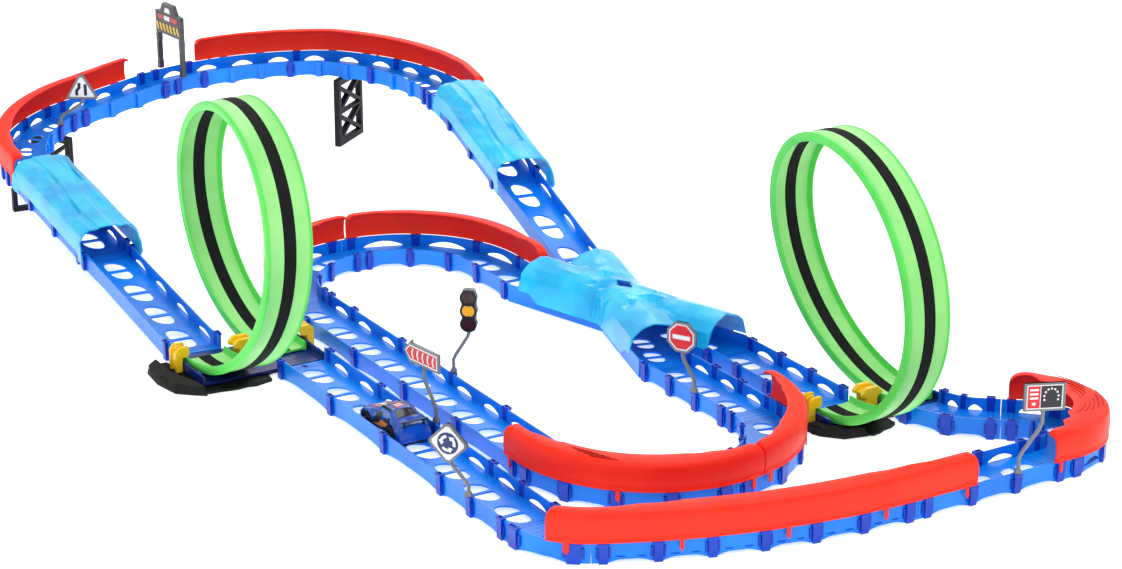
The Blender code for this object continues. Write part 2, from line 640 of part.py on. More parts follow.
def build_car():
    """A low racing car with a motor, a battery and a geared rear axle; its nose points to -X."""
    stations = [(-39, 10.5, 14, 13.0), (-36, 15, 15, 15.5), (-22, 16.2, 19.5, 18.6),
                (-10, 14.6, 22, 21.5), (-2, 13.8, 28, 28.0), (14, 13.8, 29, 29.0),
                (24, 15.4, 24, 23.6), (33, 16.4, 21, 20.4), (38, 15, 20, 19.4)]
    rings = []
    for dx, half, high, shoulder in stations:
        x = CAR_X + dx * MM
        section = [(-half, 5.4), (half, 5.4), (half + 0.6, 12), (half - 3.0, shoulder - 0.6)]
        section += [(half - 5.6, high), (-half + 5.6, high), (-half + 3.0, shoulder - 0.6)]
        section += [(-half - 0.6, 12)]
        rings.append([(x, CAR_Y + a * MM, b * MM + 4 * MM) for a, b in section])
    shell = rings_object("car_body", rings, "blue")
    cavity = prism("cut_car_cavity", [(CAR_X + a * MM, CAR_Y + b * MM) for a, b in
                                      ((-31, -10), (32, -10), (32, 10), (-31, 10))],
                   5 * MM, 21.5 * MM, "blue", True)
    boolean(shell, cavity, "DIFFERENCE")
    for x, label in ((FRONT_X, "front"), (REAR_X, "rear")):
        arch_cut = lathe("cut_arch_" + label, [(0, -21), (9.0, -21), (9.0, 21), (0, 21)],
                         (x, CAR_Y, AXLE_Z), 12, "blue", True)
        boolean(shell, arch_cut, "DIFFERENCE")
        profile = [(0, -17.6), (4.2, -17.6), (7.2, -17.2), (7.2, -11.4), (1.2, -11.0), (1.2, 11.0)]
        profile += [(7.2, 11.4), (7.2, 17.2), (4.2, 17.6), (0, 17.6)]
        if label == "rear":
            profile[5:5] = [(1.2, -6.6), (4.0, -6.4), (4.0, -4.6), (1.2, -4.4)]
        lathe("car_wheels_" + label, profile, (x, CAR_Y, AXLE_Z), 16, "tyre")
    low, top = AXLE_Z - 6.2 * MM, AXLE_Z - 4.5 * MM
    tray = [(-36, -9), (-33, -9), (33, -9), (37, -9), (37, 9), (-36, 9)]
    prism("car_chassis", [(CAR_X + a * MM, CAR_Y + b * MM) for a, b in tray], low, top, "black")
    box("car_battery", (CAR_X - 17 * MM, CAR_X + 8 * MM), (CAR_Y - 7 * MM, CAR_Y + 7 * MM),
        (top + 0.3 * MM, 21 * MM), "metal")
    box("car_motor", (CAR_X + 9 * MM, CAR_X + 19.6 * MM), (CAR_Y - 3.4 * MM, CAR_Y + 8 * MM),
        (top + 0.3 * MM, 20 * MM), "metal")


def box(name, xs, ys, zs, colour):
    outline = [(xs[0], ys[0]), (xs[1], ys[0]), (xs[1], ys[1]), (xs[0], ys[1])]
    return prism(name, outline, zs[0], zs[1], colour)


def lathe(name, profile, centre, steps, colour, helper=False):
    """A solid turned about the cross axis; the profile is (radius, across) in millimetres."""
    verts = []
    rows = []
    for r, a in profile:
        if r == 0:
            rows.append([len(verts)])
            verts.append((centre[0], centre[1] + a * MM, centre[2]))
            continue
        rows.append(list(range(len(verts), len(verts) + steps)))
        for k in range(steps):
            t = 2 * math.pi * k / steps
            verts.append((centre[0] + r * MM * math.cos(t), centre[1] + a * MM,
                          centre[2] + r * MM * math.sin(t)))
    faces = []
    for row, nxt in zip(rows, rows[1:]):
        for k in range(steps):
            j = (k + 1) % steps
            if len(row) == 1:
                faces.append((row[0], nxt[k], nxt[j]))
            elif len(nxt) == 1:
                faces.append((row[k], row[j], nxt[0]))
            else:
                faces.append((row[k], row[j], nxt[j], nxt[k]))
    return mesh_object(name, verts, faces, colour, pivot=centre, helper=helper)


def centre_on_floor():
    """Moves the whole set so that its origin is on the floor under its middle."""
    for obj in list(SET.objects) + list(CUTTERS.objects):
        obj.location -= Vector(MIDDLE)


build_track()
build_crossing()
build_loops()
build_guards()
build_covers()
build_supports()
build_signs()
build_gate()
build_car()
centre_on_floor()
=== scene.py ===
"""Looks for the slot car track set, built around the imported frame.

Lengths in this file are millimetres in the set's own layout, where the inner lane runs along X
at Y 0; Build.piece turns them into the frame's metres.
"""

import math

import bmesh  # noqa: E402
import bpy  # noqa: E402
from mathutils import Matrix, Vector, noise  # noqa: E402
from mathutils.geometry import delaunay_2d_cdt  # noqa: E402


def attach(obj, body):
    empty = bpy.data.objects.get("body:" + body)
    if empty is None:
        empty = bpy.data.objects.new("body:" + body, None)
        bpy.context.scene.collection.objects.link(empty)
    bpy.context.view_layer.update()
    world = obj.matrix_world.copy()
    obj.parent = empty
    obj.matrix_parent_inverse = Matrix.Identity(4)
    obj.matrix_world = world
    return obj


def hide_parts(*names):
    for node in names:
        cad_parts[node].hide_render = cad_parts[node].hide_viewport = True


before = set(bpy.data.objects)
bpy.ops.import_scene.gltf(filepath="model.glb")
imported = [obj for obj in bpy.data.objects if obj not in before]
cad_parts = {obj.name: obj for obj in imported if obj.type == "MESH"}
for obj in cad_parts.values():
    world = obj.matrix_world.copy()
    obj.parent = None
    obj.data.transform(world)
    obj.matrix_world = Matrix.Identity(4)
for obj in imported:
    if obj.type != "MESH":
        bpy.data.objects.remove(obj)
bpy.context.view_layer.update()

MM = 0.001
MIDDLE = Vector((-39.0, 128.0, 0.0))
HALF, WALL_IN, WALL = 25.0, 23.4, 18.0      # the channel's half widths and its height
FLOOR, FLOOR_LOW = 6.0, 4.2                 # top and underside of the channel's floor
OUT = HALF - 0.1                            # outer face of a wall
SEAT = 18.4                                 # where guards and covers sit on the walls
RIB_MID = 26.8                              # middle of a rib socket, where a sign's foot stands
LANE, INNER_R = 70.0, 107.0                 # distance between lanes, radius of the half circles
Y_OUTER, Y_INNER, Y_NEAR, Y_FAR = -LANE, 0.0, 2 * INNER_R, 2 * INNER_R + LANE
X_CROSS_REAR, X_CROSS_FRONT = -15.0, 225.0
X_MID, Y_MID = (X_CROSS_REAR + X_CROSS_FRONT) / 2, (Y_NEAR + Y_FAR) / 2
GRAIN_DEPTH = 0.0001                        # metres, of the moulded grain


# ---------------------------------------------------------------- materials
def node(tree, kind, **values):
    made = tree.nodes.new(kind)
    for key, value in values.items():
        if key in made.inputs:
            made.inputs[key].default_value = value
        else:
            setattr(made, key, value)
    return made


def plastic(name, dark, light, rough=0.3, coat=0.25, alpha=1.0, grain=0.02, scale=14.0,
            spread=0.08, scatter=0.0, metallic=0.0):
    """Moulded plastic: two shades in soft patches, uneven gloss and a fine moulded grain."""
    mat = bpy.data.materials.new(name)
    mat.use_nodes = True
    tree = mat.node_tree
    shader = tree.nodes["Principled BSDF"]
    values = {"Coat Weight": coat, "Coat Roughness": 0.12, "Metallic": metallic,
              "Specular IOR Level": 0.28, "Alpha": alpha}
    if scatter:
        values.update({"Subsurface Weight": scatter, "Subsurface Scale": 0.004})
    for key, value in values.items():
        shader.inputs[key].default_value = value

    def join(source, output, target, socket):
        tree.links.new(source.outputs[output], target.inputs[socket])

    place = node(tree, "ShaderNodeTexCoord")
    patches = node(tree, "ShaderNodeTexNoise", Scale=scale, Detail=3.0, Roughness=0.55)
    join(place, "Object", patches, "Vector")
    ramp = node(tree, "ShaderNodeValToRGB")
    ramp.color_ramp.elements[0].position, ramp.color_ramp.elements[1].position = 0.34, 0.68
    ramp.color_ramp.elements[0].color = (*dark, 1)
    ramp.color_ramp.elements[1].color = (*light, 1)
    join(patches, "Fac", ramp, "Fac")
    join(ramp, "Color", shader, "Base Color")
    gloss = node(tree, "ShaderNodeTexNoise", Scale=90.0, Detail=4.0)
    join(place, "Object", gloss, "Vector")
    span = node(tree, "ShaderNodeMapRange")
    span.inputs["To Min"].default_value = rough - spread
    span.inputs["To Max"].default_value = rough + spread
    join(gloss, "Fac", span, "Value")
    join(span, "Result", shader, "Roughness")
    fine = node(tree, "ShaderNodeTexNoise", Scale=1400.0, Detail=2.0)
    join(place, "Object", fine, "Vector")
    bump = node(tree, "ShaderNodeBump", Strength=grain * 10, Distance=GRAIN_DEPTH)
    join(fine, "Fac", bump, "Height")
    join(bump, "Normal", shader, "Normal")
    return mat


MATS = {
    "blue": plastic("blue_plastic_look", (0.001, 0.160, 0.70), (0.002, 0.240, 0.90), 0.32,
                    coat=0.08, scatter=0.1),
    "deep": plastic("deep_blue_look", (0.001, 0.034, 0.40), (0.002, 0.056, 0.54), 0.34, coat=0.05),
    "red": plastic("red_plastic_look", (0.92, 0.014, 0.001), (1.00, 0.024, 0.001), 0.46, coat=0.0),
    # Darker red laid along the guards' grooves: painted shade, the same red plastic where the grooves
    # fall in shadow.
    "groove_shade": plastic("red_groove_shade_look", (0.36, 0.006, 0.002), (0.44, 0.010, 0.003), 0.5, coat=0.1),
    "green": plastic("green_plastic_look", (0.085, 0.62, 0.080), (0.115, 0.74, 0.105), 0.38, coat=0.06,
                     scatter=0.1),
    "pale_green": plastic("pale_green_look", (0.24, 0.68, 0.18), (0.34, 0.78, 0.26), 0.42, coat=0.05),
    "cyan": plastic("cyan_clear_look", (0.002, 0.42, 0.84), (0.025, 0.68, 0.96), 0.18, coat=0.15,
                    alpha=0.84, scale=22),
    "black": plastic("black_plastic_look", (0.002, 0.002, 0.003), (0.006, 0.006, 0.007), 0.6, coat=0.0),
    "rock": plastic("rock_plastic_look", (0.001, 0.001, 0.001), (0.006, 0.006, 0.005), 0.7,
                    coat=0.0, grain=0.05, scale=60),
    "stripe": plastic("stripe_rubber_look", (0.001, 0.001, 0.002), (0.003, 0.003, 0.004), 0.85,
                      coat=0.0, scale=50, grain=0.05),
    "navy": plastic("navy_plastic_look", (0.001, 0.008, 0.10), (0.002, 0.016, 0.17), 0.36, coat=0.12),
    "yellow": plastic("yellow_plastic_look", (0.86, 0.50, 0.004), (0.96, 0.62, 0.012), 0.36,
                      scatter=0.1),
    "grey": plastic("grey_plastic_look", (0.13, 0.14, 0.15), (0.20, 0.21, 0.23), 0.4),
    "dark_grey": plastic("dark_grey_look", (0.035, 0.038, 0.042), (0.065, 0.068, 0.075), 0.42),
    "white": plastic("white_print_look", (0.70, 0.71, 0.74), (0.82, 0.83, 0.86), 0.4),
    "print_black": plastic("black_print_look", (0.010, 0.010, 0.014), (0.02, 0.02, 0.026), 0.4),
    "print_red": plastic("red_print_look", (0.55, 0.012, 0.012), (0.68, 0.022, 0.02), 0.4),
    "print_navy": plastic("navy_print_look", (0.012, 0.022, 0.13), (0.02, 0.035, 0.18), 0.4),
    "amber": plastic("amber_lamp_look", (0.95, 0.42, 0.01), (0.98, 0.55, 0.03), 0.2, coat=0.6),
    "dark_lamp": plastic("dark_lamp_look", (0.03, 0.005, 0.005), (0.06, 0.01, 0.01), 0.2, coat=0.6),
    "car": plastic("car_paint_look", (0.003, 0.048, 0.34), (0.006, 0.090, 0.52), 0.2, coat=0.6,
                   scale=40),
    "glass": plastic("car_window_look", (0.006, 0.012, 0.02), (0.015, 0.03, 0.05), 0.1, coat=0.8),
    "orange": plastic("orange_print_look", (0.85, 0.22, 0.02), (0.92, 0.36, 0.05), 0.35),
    "tyre": plastic("tyre_look", (0.008, 0.008, 0.009), (0.02, 0.02, 0.022), 0.7, coat=0.0,
                    grain=0.08, scale=120),
    "rim": plastic("rim_look", (0.42, 0.43, 0.46), (0.58, 0.59, 0.62), 0.28, metallic=0.8),
    "metal": plastic("metal_can_look", (0.45, 0.46, 0.48), (0.62, 0.62, 0.64), 0.3, metallic=1.0),
}


# ---------------------------------------------------------------- mesh collecting
def within(x, y, polygon):
    """Whether a plan point is inside a polygon."""
    hit = False
    for (ax, ay), (bx, by) in zip(polygon, polygon[1:] + polygon[:1]):
        if (ay > y) != (by > y) and x < ax + (bx - ax) * (y - ay) / (by - ay):
            hit = not hit
    return hit


def divided(outline, step):
    """A closed outline with its sides cut into lengths of about this step."""
    points = []
    for (ax, ay), (bx, by) in zip(outline, outline[1:] + outline[:1]):
        n = max(1, round(math.hypot(bx - ax, by - ay) / step))
        points += [(ax + (bx - ax) * k / n, ay + (by - ay) * k / n) for k in range(n)]
    return points


def box(x0, y0, x1, y1):
    return [(x0, y0), (x1, y0), (x1, y1), (x0, y1)]


def mirrored(half, before=0):
    """A symmetric outline from its right half, starting this many points before that half."""
    both = half + [(-a, b) for a, b in reversed(half)]
    return both[len(both) - before:] + both[:len(both) - before]


def middle(points):
    return sum(x for x, _y in points) / len(points), sum(y for _x, y in points) / len(points)


class Build:
    """Collects the faces of one piece, in layout millimetres, then makes its object."""

    def __init__(self, *materials):
        self.materials = materials
        self.verts, self.faces, self.mats = [], [], []

    def add(self, verts, faces, mat=0):
        n = len(self.verts)
        self.verts += [Vector(v) for v in verts]
        self.faces += [tuple(n + i for i in f) for f in faces]
        self.mats += [mat] * len(faces) if isinstance(mat, int) else mat

    def loft(self, rings, mat=0):
        """A closed solid through rings of equal length; mat may name one per ring segment."""
        n = len(rings[0])
        verts = [v for ring in rings for v in ring]
        faces, mats = [], []
        for i in range(len(rings) - 1):
            a, b = i * n, (i + 1) * n
            for j in range(n):
                k = (j + 1) % n
                faces.append((a + j, a + k, b + k, b + j))
                mats.append(mat if isinstance(mat, int) else mat[j])
        first = mat if isinstance(mat, int) else mat[0]
        faces += [tuple(reversed(range(n))), tuple(range((len(rings) - 1) * n, len(verts)))]
        mats += [first, first]
        self.add(verts, faces, mats)

    def plate(self, outline, holes, place, mat=0, inner=()):
        """A sheet with openings: place(u, v, w) puts a plan point, w 0 in front and 1 behind."""
        points = [Vector(p) for p in outline]
        edges = [(i, (i + 1) % len(outline)) for i in range(len(outline))]
        for hole in holes:
            n = len(points)
            points += [Vector(p) for p in hole]
            edges += [(n + i, n + (i + 1) % len(hole)) for i in range(len(hole))]
        points += [Vector(p) for p in inner]
        flat, _e, tris, *_rest = delaunay_2d_cdt(points, edges, [], 0, 1e-5)
        spans = [(min(p[0] for p in h), max(p[0] for p in h), h) for h in holes]
        kept = []
        for tri in tris:
            x = sum(flat[i][0] for i in tri) / 3
            y = sum(flat[i][1] for i in tri) / 3
            if not within(x, y, outline):
                continue
            if any(lo <= x <= hi and within(x, y, h) for lo, hi, h in spans):
                continue
            kept.append(tuple(tri))
        n = len(flat)
        verts = [place(p[0], p[1], 0) for p in flat] + [place(p[0], p[1], 1) for p in flat]
        faces = kept + [tuple(n + i for i in reversed(tri)) for tri in kept]
        once = {}
        for tri in kept:
            for a, b in zip(tri, tri[1:] + tri[:1]):
                if once.pop((b, a), None) is None:
                    once[(a, b)] = True
        faces += [(b, a, n + a, n + b) for a, b in once]
        self.add(verts, faces, mat)

    def prism(self, outline, z0, z1, mat=0):
        self.loft([[(x, y, z0) for x, y in outline], [(x, y, z1) for x, y in outline]], mat)

    def tube(self, points, radii, sides=12, mat=0):
        pts = [Vector(p) for p in points]
        rings, side = [], None
        for i, p in enumerate(pts):
            t = (pts[min(i + 1, len(pts) - 1)] - pts[max(i - 1, 0)]).normalized()
            side = t.orthogonal().normalized() if side is None else (
                side - t * side.dot(t)).normalized()
            up = t.cross(side)
            r = radii if isinstance(radii, (int, float)) else radii[i]
            rings.append([p + (side * math.cos(a) + up * math.sin(a)) * r
                          for a in (2 * math.pi * k / sides for k in range(sides))])
        self.loft(rings, mat)

    def piece(self, name, body="track", nodes=(), sharp=34.0, bevel=0.0):
        """Makes the object. Edges sharper than this many degrees stay crisp."""
        mesh = bpy.data.meshes.new(name)
        verts = [(v - MIDDLE) * MM for v in self.verts]
        mesh.from_pydata(verts, [], self.faces)
        for key in self.materials:
            mesh.materials.append(MATS[key])
        for face, mat in zip(mesh.polygons, self.mats):
            face.material_index = mat
        bm = bmesh.new()
        bm.from_mesh(mesh)
        bmesh.ops.remove_doubles(bm, verts=bm.verts, dist=2e-6)
        bmesh.ops.recalc_face_normals(bm, faces=bm.faces)
        bm.to_mesh(mesh)
        bm.free()
        mesh.shade_smooth()
        mesh.set_sharp_from_angle(angle=math.radians(sharp))
        obj = bpy.data.objects.new(name, mesh)
        bpy.context.scene.collection.objects.link(obj)
        if bevel:
            mod = obj.modifiers.new("soft_edges", "BEVEL")
            mod.width, mod.segments = bevel * MM, 2
            mod.limit_method, mod.angle_limit = "ANGLE", math.radians(38)
        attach(obj, body)
        if nodes:
            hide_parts(*nodes)


# ---------------------------------------------------------------- the circuit's lines
class Path:
    """A plan line of straights and arcs, with a height that changes along it."""

    def __init__(self, x, y, heading, parts, heights=((0, 0), (1, 0))):
        self.parts, self.heights, self.length = [], heights, 0.0
        h = math.radians(heading)
        for part in parts:
            if part[0] == "straight":
                length, radius, turn = part[1], None, 0.0
            else:
                radius, turn = part[1], math.radians(part[2])
                length = abs(radius * turn)
            self.parts.append((self.length, length, x, y, h, radius, turn))
            x, y, h = self.step(x, y, h, radius, turn, length)
            self.length += length

    @staticmethod
    def step(x, y, h, radius, turn, s):
        if radius is None:
            return x + s * math.cos(h), y + s * math.sin(h), h
        sign = 1 if turn > 0 else -1
        h2 = h + sign * s / radius
        x2 = x - sign * radius * (math.sin(h) - math.sin(h2))
        y2 = y + sign * radius * (math.cos(h) - math.cos(h2))
        return x2, y2, h2

    def at(self, s):
        for start, length, x, y, h, radius, turn in self.parts:
            if s <= start + length or start + length >= self.length - 1e-6:
                return self.step(x, y, h, radius, turn, s - start)
        return None

    def straight_z(self, s):
        for (s0, z0), (s1, z1) in zip(self.heights, self.heights[1:]):
            if s <= s1:
                return z0 + (z1 - z0) * max(0.0, (s - s0) / (s1 - s0))
        return self.heights[-1][1]

    def z(self, s):
        """The height, eased a little where the slope changes."""
        ease = 10.0
        if len(self.heights) < 3 or s < 2 * ease or s > self.length - 3:
            return self.straight_z(s)
        return (self.straight_z(s - ease) + 2 * self.straight_z(s) + self.straight_z(s + ease)) / 4

    def place(self, s, across, up):
        x, y, h = self.at(s)
        return Vector((x - across * math.sin(h), y + across * math.cos(h), self.z(s) + up))

    def bent(self, s):
        return any(radius and start - 6 <= s <= start + length + 6
                   for start, length, _x, _y, _h, radius, _t in self.parts)


def spaced(lo, hi, step):
    n = max(1, round((hi - lo) / step))
    return [lo + (hi - lo) * k / n for k in range(n + 1)]


X_FRONT, X_REAR = 368.0, -90.0
INNER_LINE = Path(X_FRONT, Y_INNER, 180, [
    ("straight", X_FRONT - X_REAR), ("arc", INNER_R, -180), ("straight", X_CROSS_REAR - X_REAR)])
FRONT_LINE = Path(X_CROSS_FRONT, Y_NEAR, 0, [
    ("straight", X_FRONT - X_CROSS_FRONT), ("arc", INNER_R, -180), ("straight", 40)])
FAR_LINE = Path(X_CROSS_FRONT, Y_FAR, 0, [("straight", 160)])
X_LOOP_RIGHT, X_LOOP_LEFT = 404.0, 1.0
BEND_R, CORNER_R, SWEEP_R, TIGHT_R = 70.0, 43.0, 555.0, 45.0
BEND_TURN, CORNER_TURN, SWEEP_TURN, TIGHT_TURN = 50, 140, 28, 62      # degrees
OUTER_LINE = Path(425, Y_FAR + 72, 0, [
    ("arc", BEND_R, BEND_TURN), ("straight", 40), ("arc", CORNER_R, -CORNER_TURN),
    ("straight", 169.5), ("arc", SWEEP_R, -SWEEP_TURN), ("arc", TIGHT_R, -TIGHT_TURN),
    ("straight", 429.6)])
RAMP_UP, LEFT_R, RIGHT_R = 525.0, 101.0, 213.0
LEFT_TURN, RIGHT_TURN, START_HEADING = 76.0, 109.0, 176               # degrees
START = (-33.6, -142.0)


def elevated_parts():
    """The straight between the two raised curves and the run down close the line."""
    probe = Path(*START, START_HEADING, [("straight", RAMP_UP), ("arc", LEFT_R, -LEFT_TURN)])
    x1, y1, h1 = probe.at(probe.length)
    after = Path(0, 0, math.degrees(h1), [("arc", RIGHT_R, -RIGHT_TURN)])
    x2, y2, h2 = after.at(after.length)
    gx, gy = X_CROSS_REAR - x1 - x2, Y_FAR - y1 - y2
    det = math.cos(h1) * math.sin(h2) - math.sin(h1) * math.cos(h2)
    straight = (gx * math.sin(h2) - gy * math.cos(h2)) / det
    down = (math.cos(h1) * gy - math.sin(h1) * gx) / det
    return [("straight", RAMP_UP), ("arc", LEFT_R, -LEFT_TURN), ("straight", straight),
            ("arc", RIGHT_R, -RIGHT_TURN), ("straight", down)]


ELEVATED = elevated_parts()
# Distances along the raised line where its stretches end, and its heights as (distance, height).
S1 = RAMP_UP
S2 = S1 + LEFT_R * math.radians(LEFT_TURN)
S3 = S2 + ELEVATED[2][1]
S4 = S3 + RIGHT_R * math.radians(RIGHT_TURN)
S5 = S4 + ELEVATED[4][1]
HEIGHTS = ((0, 0), (30, 0), (S1, 28), (S2, 55), (S3, 70), ((S3 + S4) / 2, 82), (S4, 78),
           (S4 + 80, 70), (S5 - 18, 0), (S5, 0))
RAISED_LINE = Path(*START, START_HEADING, ELEVATED, HEIGHTS)

QUARTER = INNER_R * math.pi / 2
RUN = X_FRONT - X_REAR
NEAR_RUN = X_FRONT - X_CROSS_FRONT
# The same along the outer line, rounded to where one moulded piece meets the next.
EXIT_END = BEND_R * math.radians(BEND_TURN) + 20
CORNER_END = EXIT_END + 30 + CORNER_R * math.radians(CORNER_TURN)
SWEEP_START = CORNER_END + 159.5
SWEEP_END = SWEEP_START + SWEEP_R * math.radians(SWEEP_TURN)
TIGHT_END = SWEEP_END + TIGHT_R * math.radians(TIGHT_TURN) + 6

# name, line, start, end, bays, side of the wall with openings (+1 is left), bay ends with no rib
TRACK = (
    ("track_inner", INNER_LINE, 0, RUN, 9, -1, (1, 3, 5, 7)),
    ("curve_rear_left", INNER_LINE, RUN, RUN + QUARTER, 3, 1, ()),
    ("curve_rear_right", INNER_LINE, RUN + QUARTER, INNER_LINE.length, 4, 1, ()),
    ("track_near", FRONT_LINE, 0, NEAR_RUN, 3, 1, ()),
    ("curve_front_right", FRONT_LINE, NEAR_RUN, NEAR_RUN + QUARTER, 4, -1, ()),
    ("curve_front_left", FRONT_LINE, NEAR_RUN + QUARTER, NEAR_RUN + 2 * QUARTER, 4, -1, ()),
    ("track_far", FAR_LINE, 0, FAR_LINE.length, 3, 1, ()),
    ("track_loop_exit", OUTER_LINE, 0, EXIT_END, 2, 1, ()),
    ("curve_corner_right", OUTER_LINE, EXIT_END, CORNER_END, 4, 1, ()),
    ("track_front_right", OUTER_LINE, CORNER_END, SWEEP_START, 3, -1, ()),
    ("track_front_sweep", OUTER_LINE, SWEEP_START, SWEEP_END, 6, -1, ()),
    ("curve_corner_left", OUTER_LINE, SWEEP_END, TIGHT_END, 1, -1, ()),
    ("track_outer", OUTER_LINE, TIGHT_END, OUTER_LINE.length, 8, -1, (3, 5, 7)),
    ("ramp_up_lower", RAISED_LINE, 0, S1 / 2, 4, -1, (1, 2, 3)),
    ("ramp_up_upper", RAISED_LINE, S1 / 2, S1, 3, -1, ()),
    ("raised_curve_left", RAISED_LINE, S1, S2, 4, 1, ()),
    ("raised_straight", RAISED_LINE, S2, S3, 3, 1, ()),
    ("raised_curve_right", RAISED_LINE, S3, S4, 10, 1, ()),
    ("ramp_down", RAISED_LINE, S4, S5 - 4.6, 6, 1, (4, 5)),
)
# Stretches of wall with something standing on them: line, start, end, sides.
COVERED = [(RAISED_LINE, S1 - 42, S3 - 30, (1,)), (RAISED_LINE, S3 + 56, S4 + 46, (1,)),
           (INNER_LINE, RUN - 20, RUN + 2 * QUARTER + 62, (1,)),
           (FRONT_LINE, NEAR_RUN - 7, NEAR_RUN + 2 * QUARTER + 18, (1,)),
           (OUTER_LINE, EXIT_END + 6, CORNER_END + 16, (1,)),
           (OUTER_LINE, SWEEP_START - 59, SWEEP_END + 23, (1,)),
           (RAISED_LINE, S1 - 277, S1 - 55, (1, -1)), (RAISED_LINE, S4 + 50, S4 + 236, (1, -1)),
           (RAISED_LINE, S3 + 12, S3 + 22, (1, -1)), (RAISED_LINE, S5 - 30, S5, (1, -1)),
           (INNER_LINE, INNER_LINE.length - 22, INNER_LINE.length, (1, -1)),
           (FRONT_LINE, 0, 22, (1, -1)), (FAR_LINE, 0, 22, (1, -1))]


# Ribs without a socket: plain stiffeners in the wall's own colour.
QUIET = {"raised_curve_right": (2, 3, 5, 6, 8, 9), "raised_curve_left": (1, 2),
         "raised_straight": (1, 2)}


def rib_places(s0, s1, bays):
    """Where the ribs stand along a piece, including those of the bay ends that have none."""
    a, b = s0 + 9, s1 - 9
    return [a + (b - a) * k / bays for k in range(bays + 1)]


# Ribs that carry a sign: track piece, number along it, side.
SIGN_RIBS = [("raised_curve_left", 3, -1), ("track_outer", 4, -1), ("track_outer", 1, 1),
             ("track_inner", 4, -1), ("track_near", 2, -1), ("track_front_right", 1, 1)]


def covered(name, line, number, s, side):
    """Whether something stands on this rib, so that its top stays low."""
    if (name, number, side) in SIGN_RIBS:
        return True
    return any(line is on and lo - 5 <= s <= hi + 5 and side in sides
               for on, lo, hi, sides in COVERED)


# ---------------------------------------------------------------- track pieces
# The floor's opening, as (along, across), and the wall's, as (along, up), both in a 50 mm bay.
FIN = [(-9.2, 1.5), (-10.0, 3.4), (-9.6, 8.0), (-7.4, 13.4), (-3.2, 17.4), (1.8, 19.4), (6.0, 18.8),
       (8.8, 15.6), (10.1, 10.4), (10.1, 3.6), (9.2, 1.7), (4.0, 1.4)]
DOME = [(-14.4, 0.0), (-14.6, 1.0), (-12.4, 2.5), (-8.4, 4.2), (-3.8, 5.4), (0.0, 5.7),
        (3.8, 5.4), (8.4, 4.2), (12.4, 2.5), (14.6, 1.0), (14.4, 0.0)]


def fins(mid, room):
    """The pair of D-shaped openings in the floor of one bay, point-symmetric about its middle."""
    k = min(1.3, (room - 6) / 44.0)
    if k < 0.35:
        return []
    wide = min(1.0, 0.45 + 0.55 * k)
    first = [(mid + d * k, a * wide) for a, d in FIN]
    return [first, [(2 * mid - s, -a) for s, a in first]]


def add_rib(made, line, s, side, top, quiet):
    """A hollow rib socket on the outside of a wall, open at the top, or a plain rib."""
    def ring(half, a0, a1, z):
        return [line.place(s - half, side * a0, z), line.place(s + half, side * a0, z),
                line.place(s + half, side * a1, z), line.place(s - half, side * a1, z)]
    rings = [ring(3.2, 23.3, 27.4, 0.0), ring(3.5, 23.1, 27.7, 1.0),
             ring(3.5, 23.1, 27.9, top - 3.4), ring(4.2, 23.1, 28.4, top - 2.6),
             ring(4.2, 23.1, 28.5, top - 0.4), ring(3.9, 23.3, 28.2, top),
             ring(2.8, 24.4, 27.2, top), ring(2.8, 24.4, 27.2, top - 7)]
    made.loft(rings, 0 if quiet else 1)
    if quiet:
        return
    made.loft([ring(3.3, WALL_IN - 0.14, WALL_IN + 0.4, z) for z in (FLOOR - 0.2, WALL - 0.1)], 1)
    for ds in (-4.9, 4.9):
        tab = [line.place(s + ds + a, side * b, WALL - 4.5)
               for a, b in ((-0.7, 24.6), (0.7, 24.6), (0.7, 26.6), (-0.7, 26.6))]
        made.loft([[p - Vector((0, 0, 9)) for p in tab], tab], 1)


def add_wall(made, line, s0, s1, side, ribs, places, doors, low_slits=False):
    """One side wall: scalloped along the foot, with low domed openings between the ribs."""
    step = 3.5 if any(line.bent(s) for s in (s0, (s0 + s1) / 2, s1)) else 9.0
    scallop = 1.6 if line is RAISED_LINE else 3.0
    foot = []
    for s in spaced(s0, s1, 3.0):
        near = min(abs(s - r) for r in ribs)
        gap = min((b - a for a, b in zip(ribs, ribs[1:]) if a <= s <= b), default=0)
        rise = 0.0
        if gap > 18 and near > 4.4:
            u = (near - 4.4) / (gap / 2 - 4.4)
            rise = scallop * math.sin(math.pi / 2 * min(1.0, u * 1.5)) ** 0.8
        foot.append((s, rise))
    outline = foot + [(s, WALL) for s in reversed(spaced(s0, s1, step))]
    holes = []
    if doors:
        for a, b in zip(places, places[1:]):
            k = min(1.2, (b - a - 6) / 44.0)
            if k > 0.3:
                holes.append([((a + b) / 2 + d * k, FLOOR + 0.1 + h) for d, h in DOME])
    if low_slits:
        for a, b in zip(ribs, ribs[1:]):
            for at in (0.3, 0.68):
                mid = a + (b - a) * at
                holes.append([(mid - 4, 5.2), (mid, 4.7), (mid + 4, 5.3), (mid + 3, 6.4),
                              (mid - 1, 7.0)])
    inner = [(s, z) for s in spaced(s0 + 2, s1 - 2, step) for z in (5.0, 15.5)]
    made.plate(outline, holes,
               lambda u, v, w: line.place(u, side * (OUT - (OUT - WALL_IN) * w), v), 0, inner)
    rim = [(OUT, WALL - 0.2), (OUT - 0.2, WALL + 0.15), (WALL_IN + 0.2, WALL + 0.15),
           (WALL_IN, WALL - 0.2)]
    made.loft([[line.place(s, side * a, b) for a, b in rim] for s in spaced(s0, s1, step)], 0)


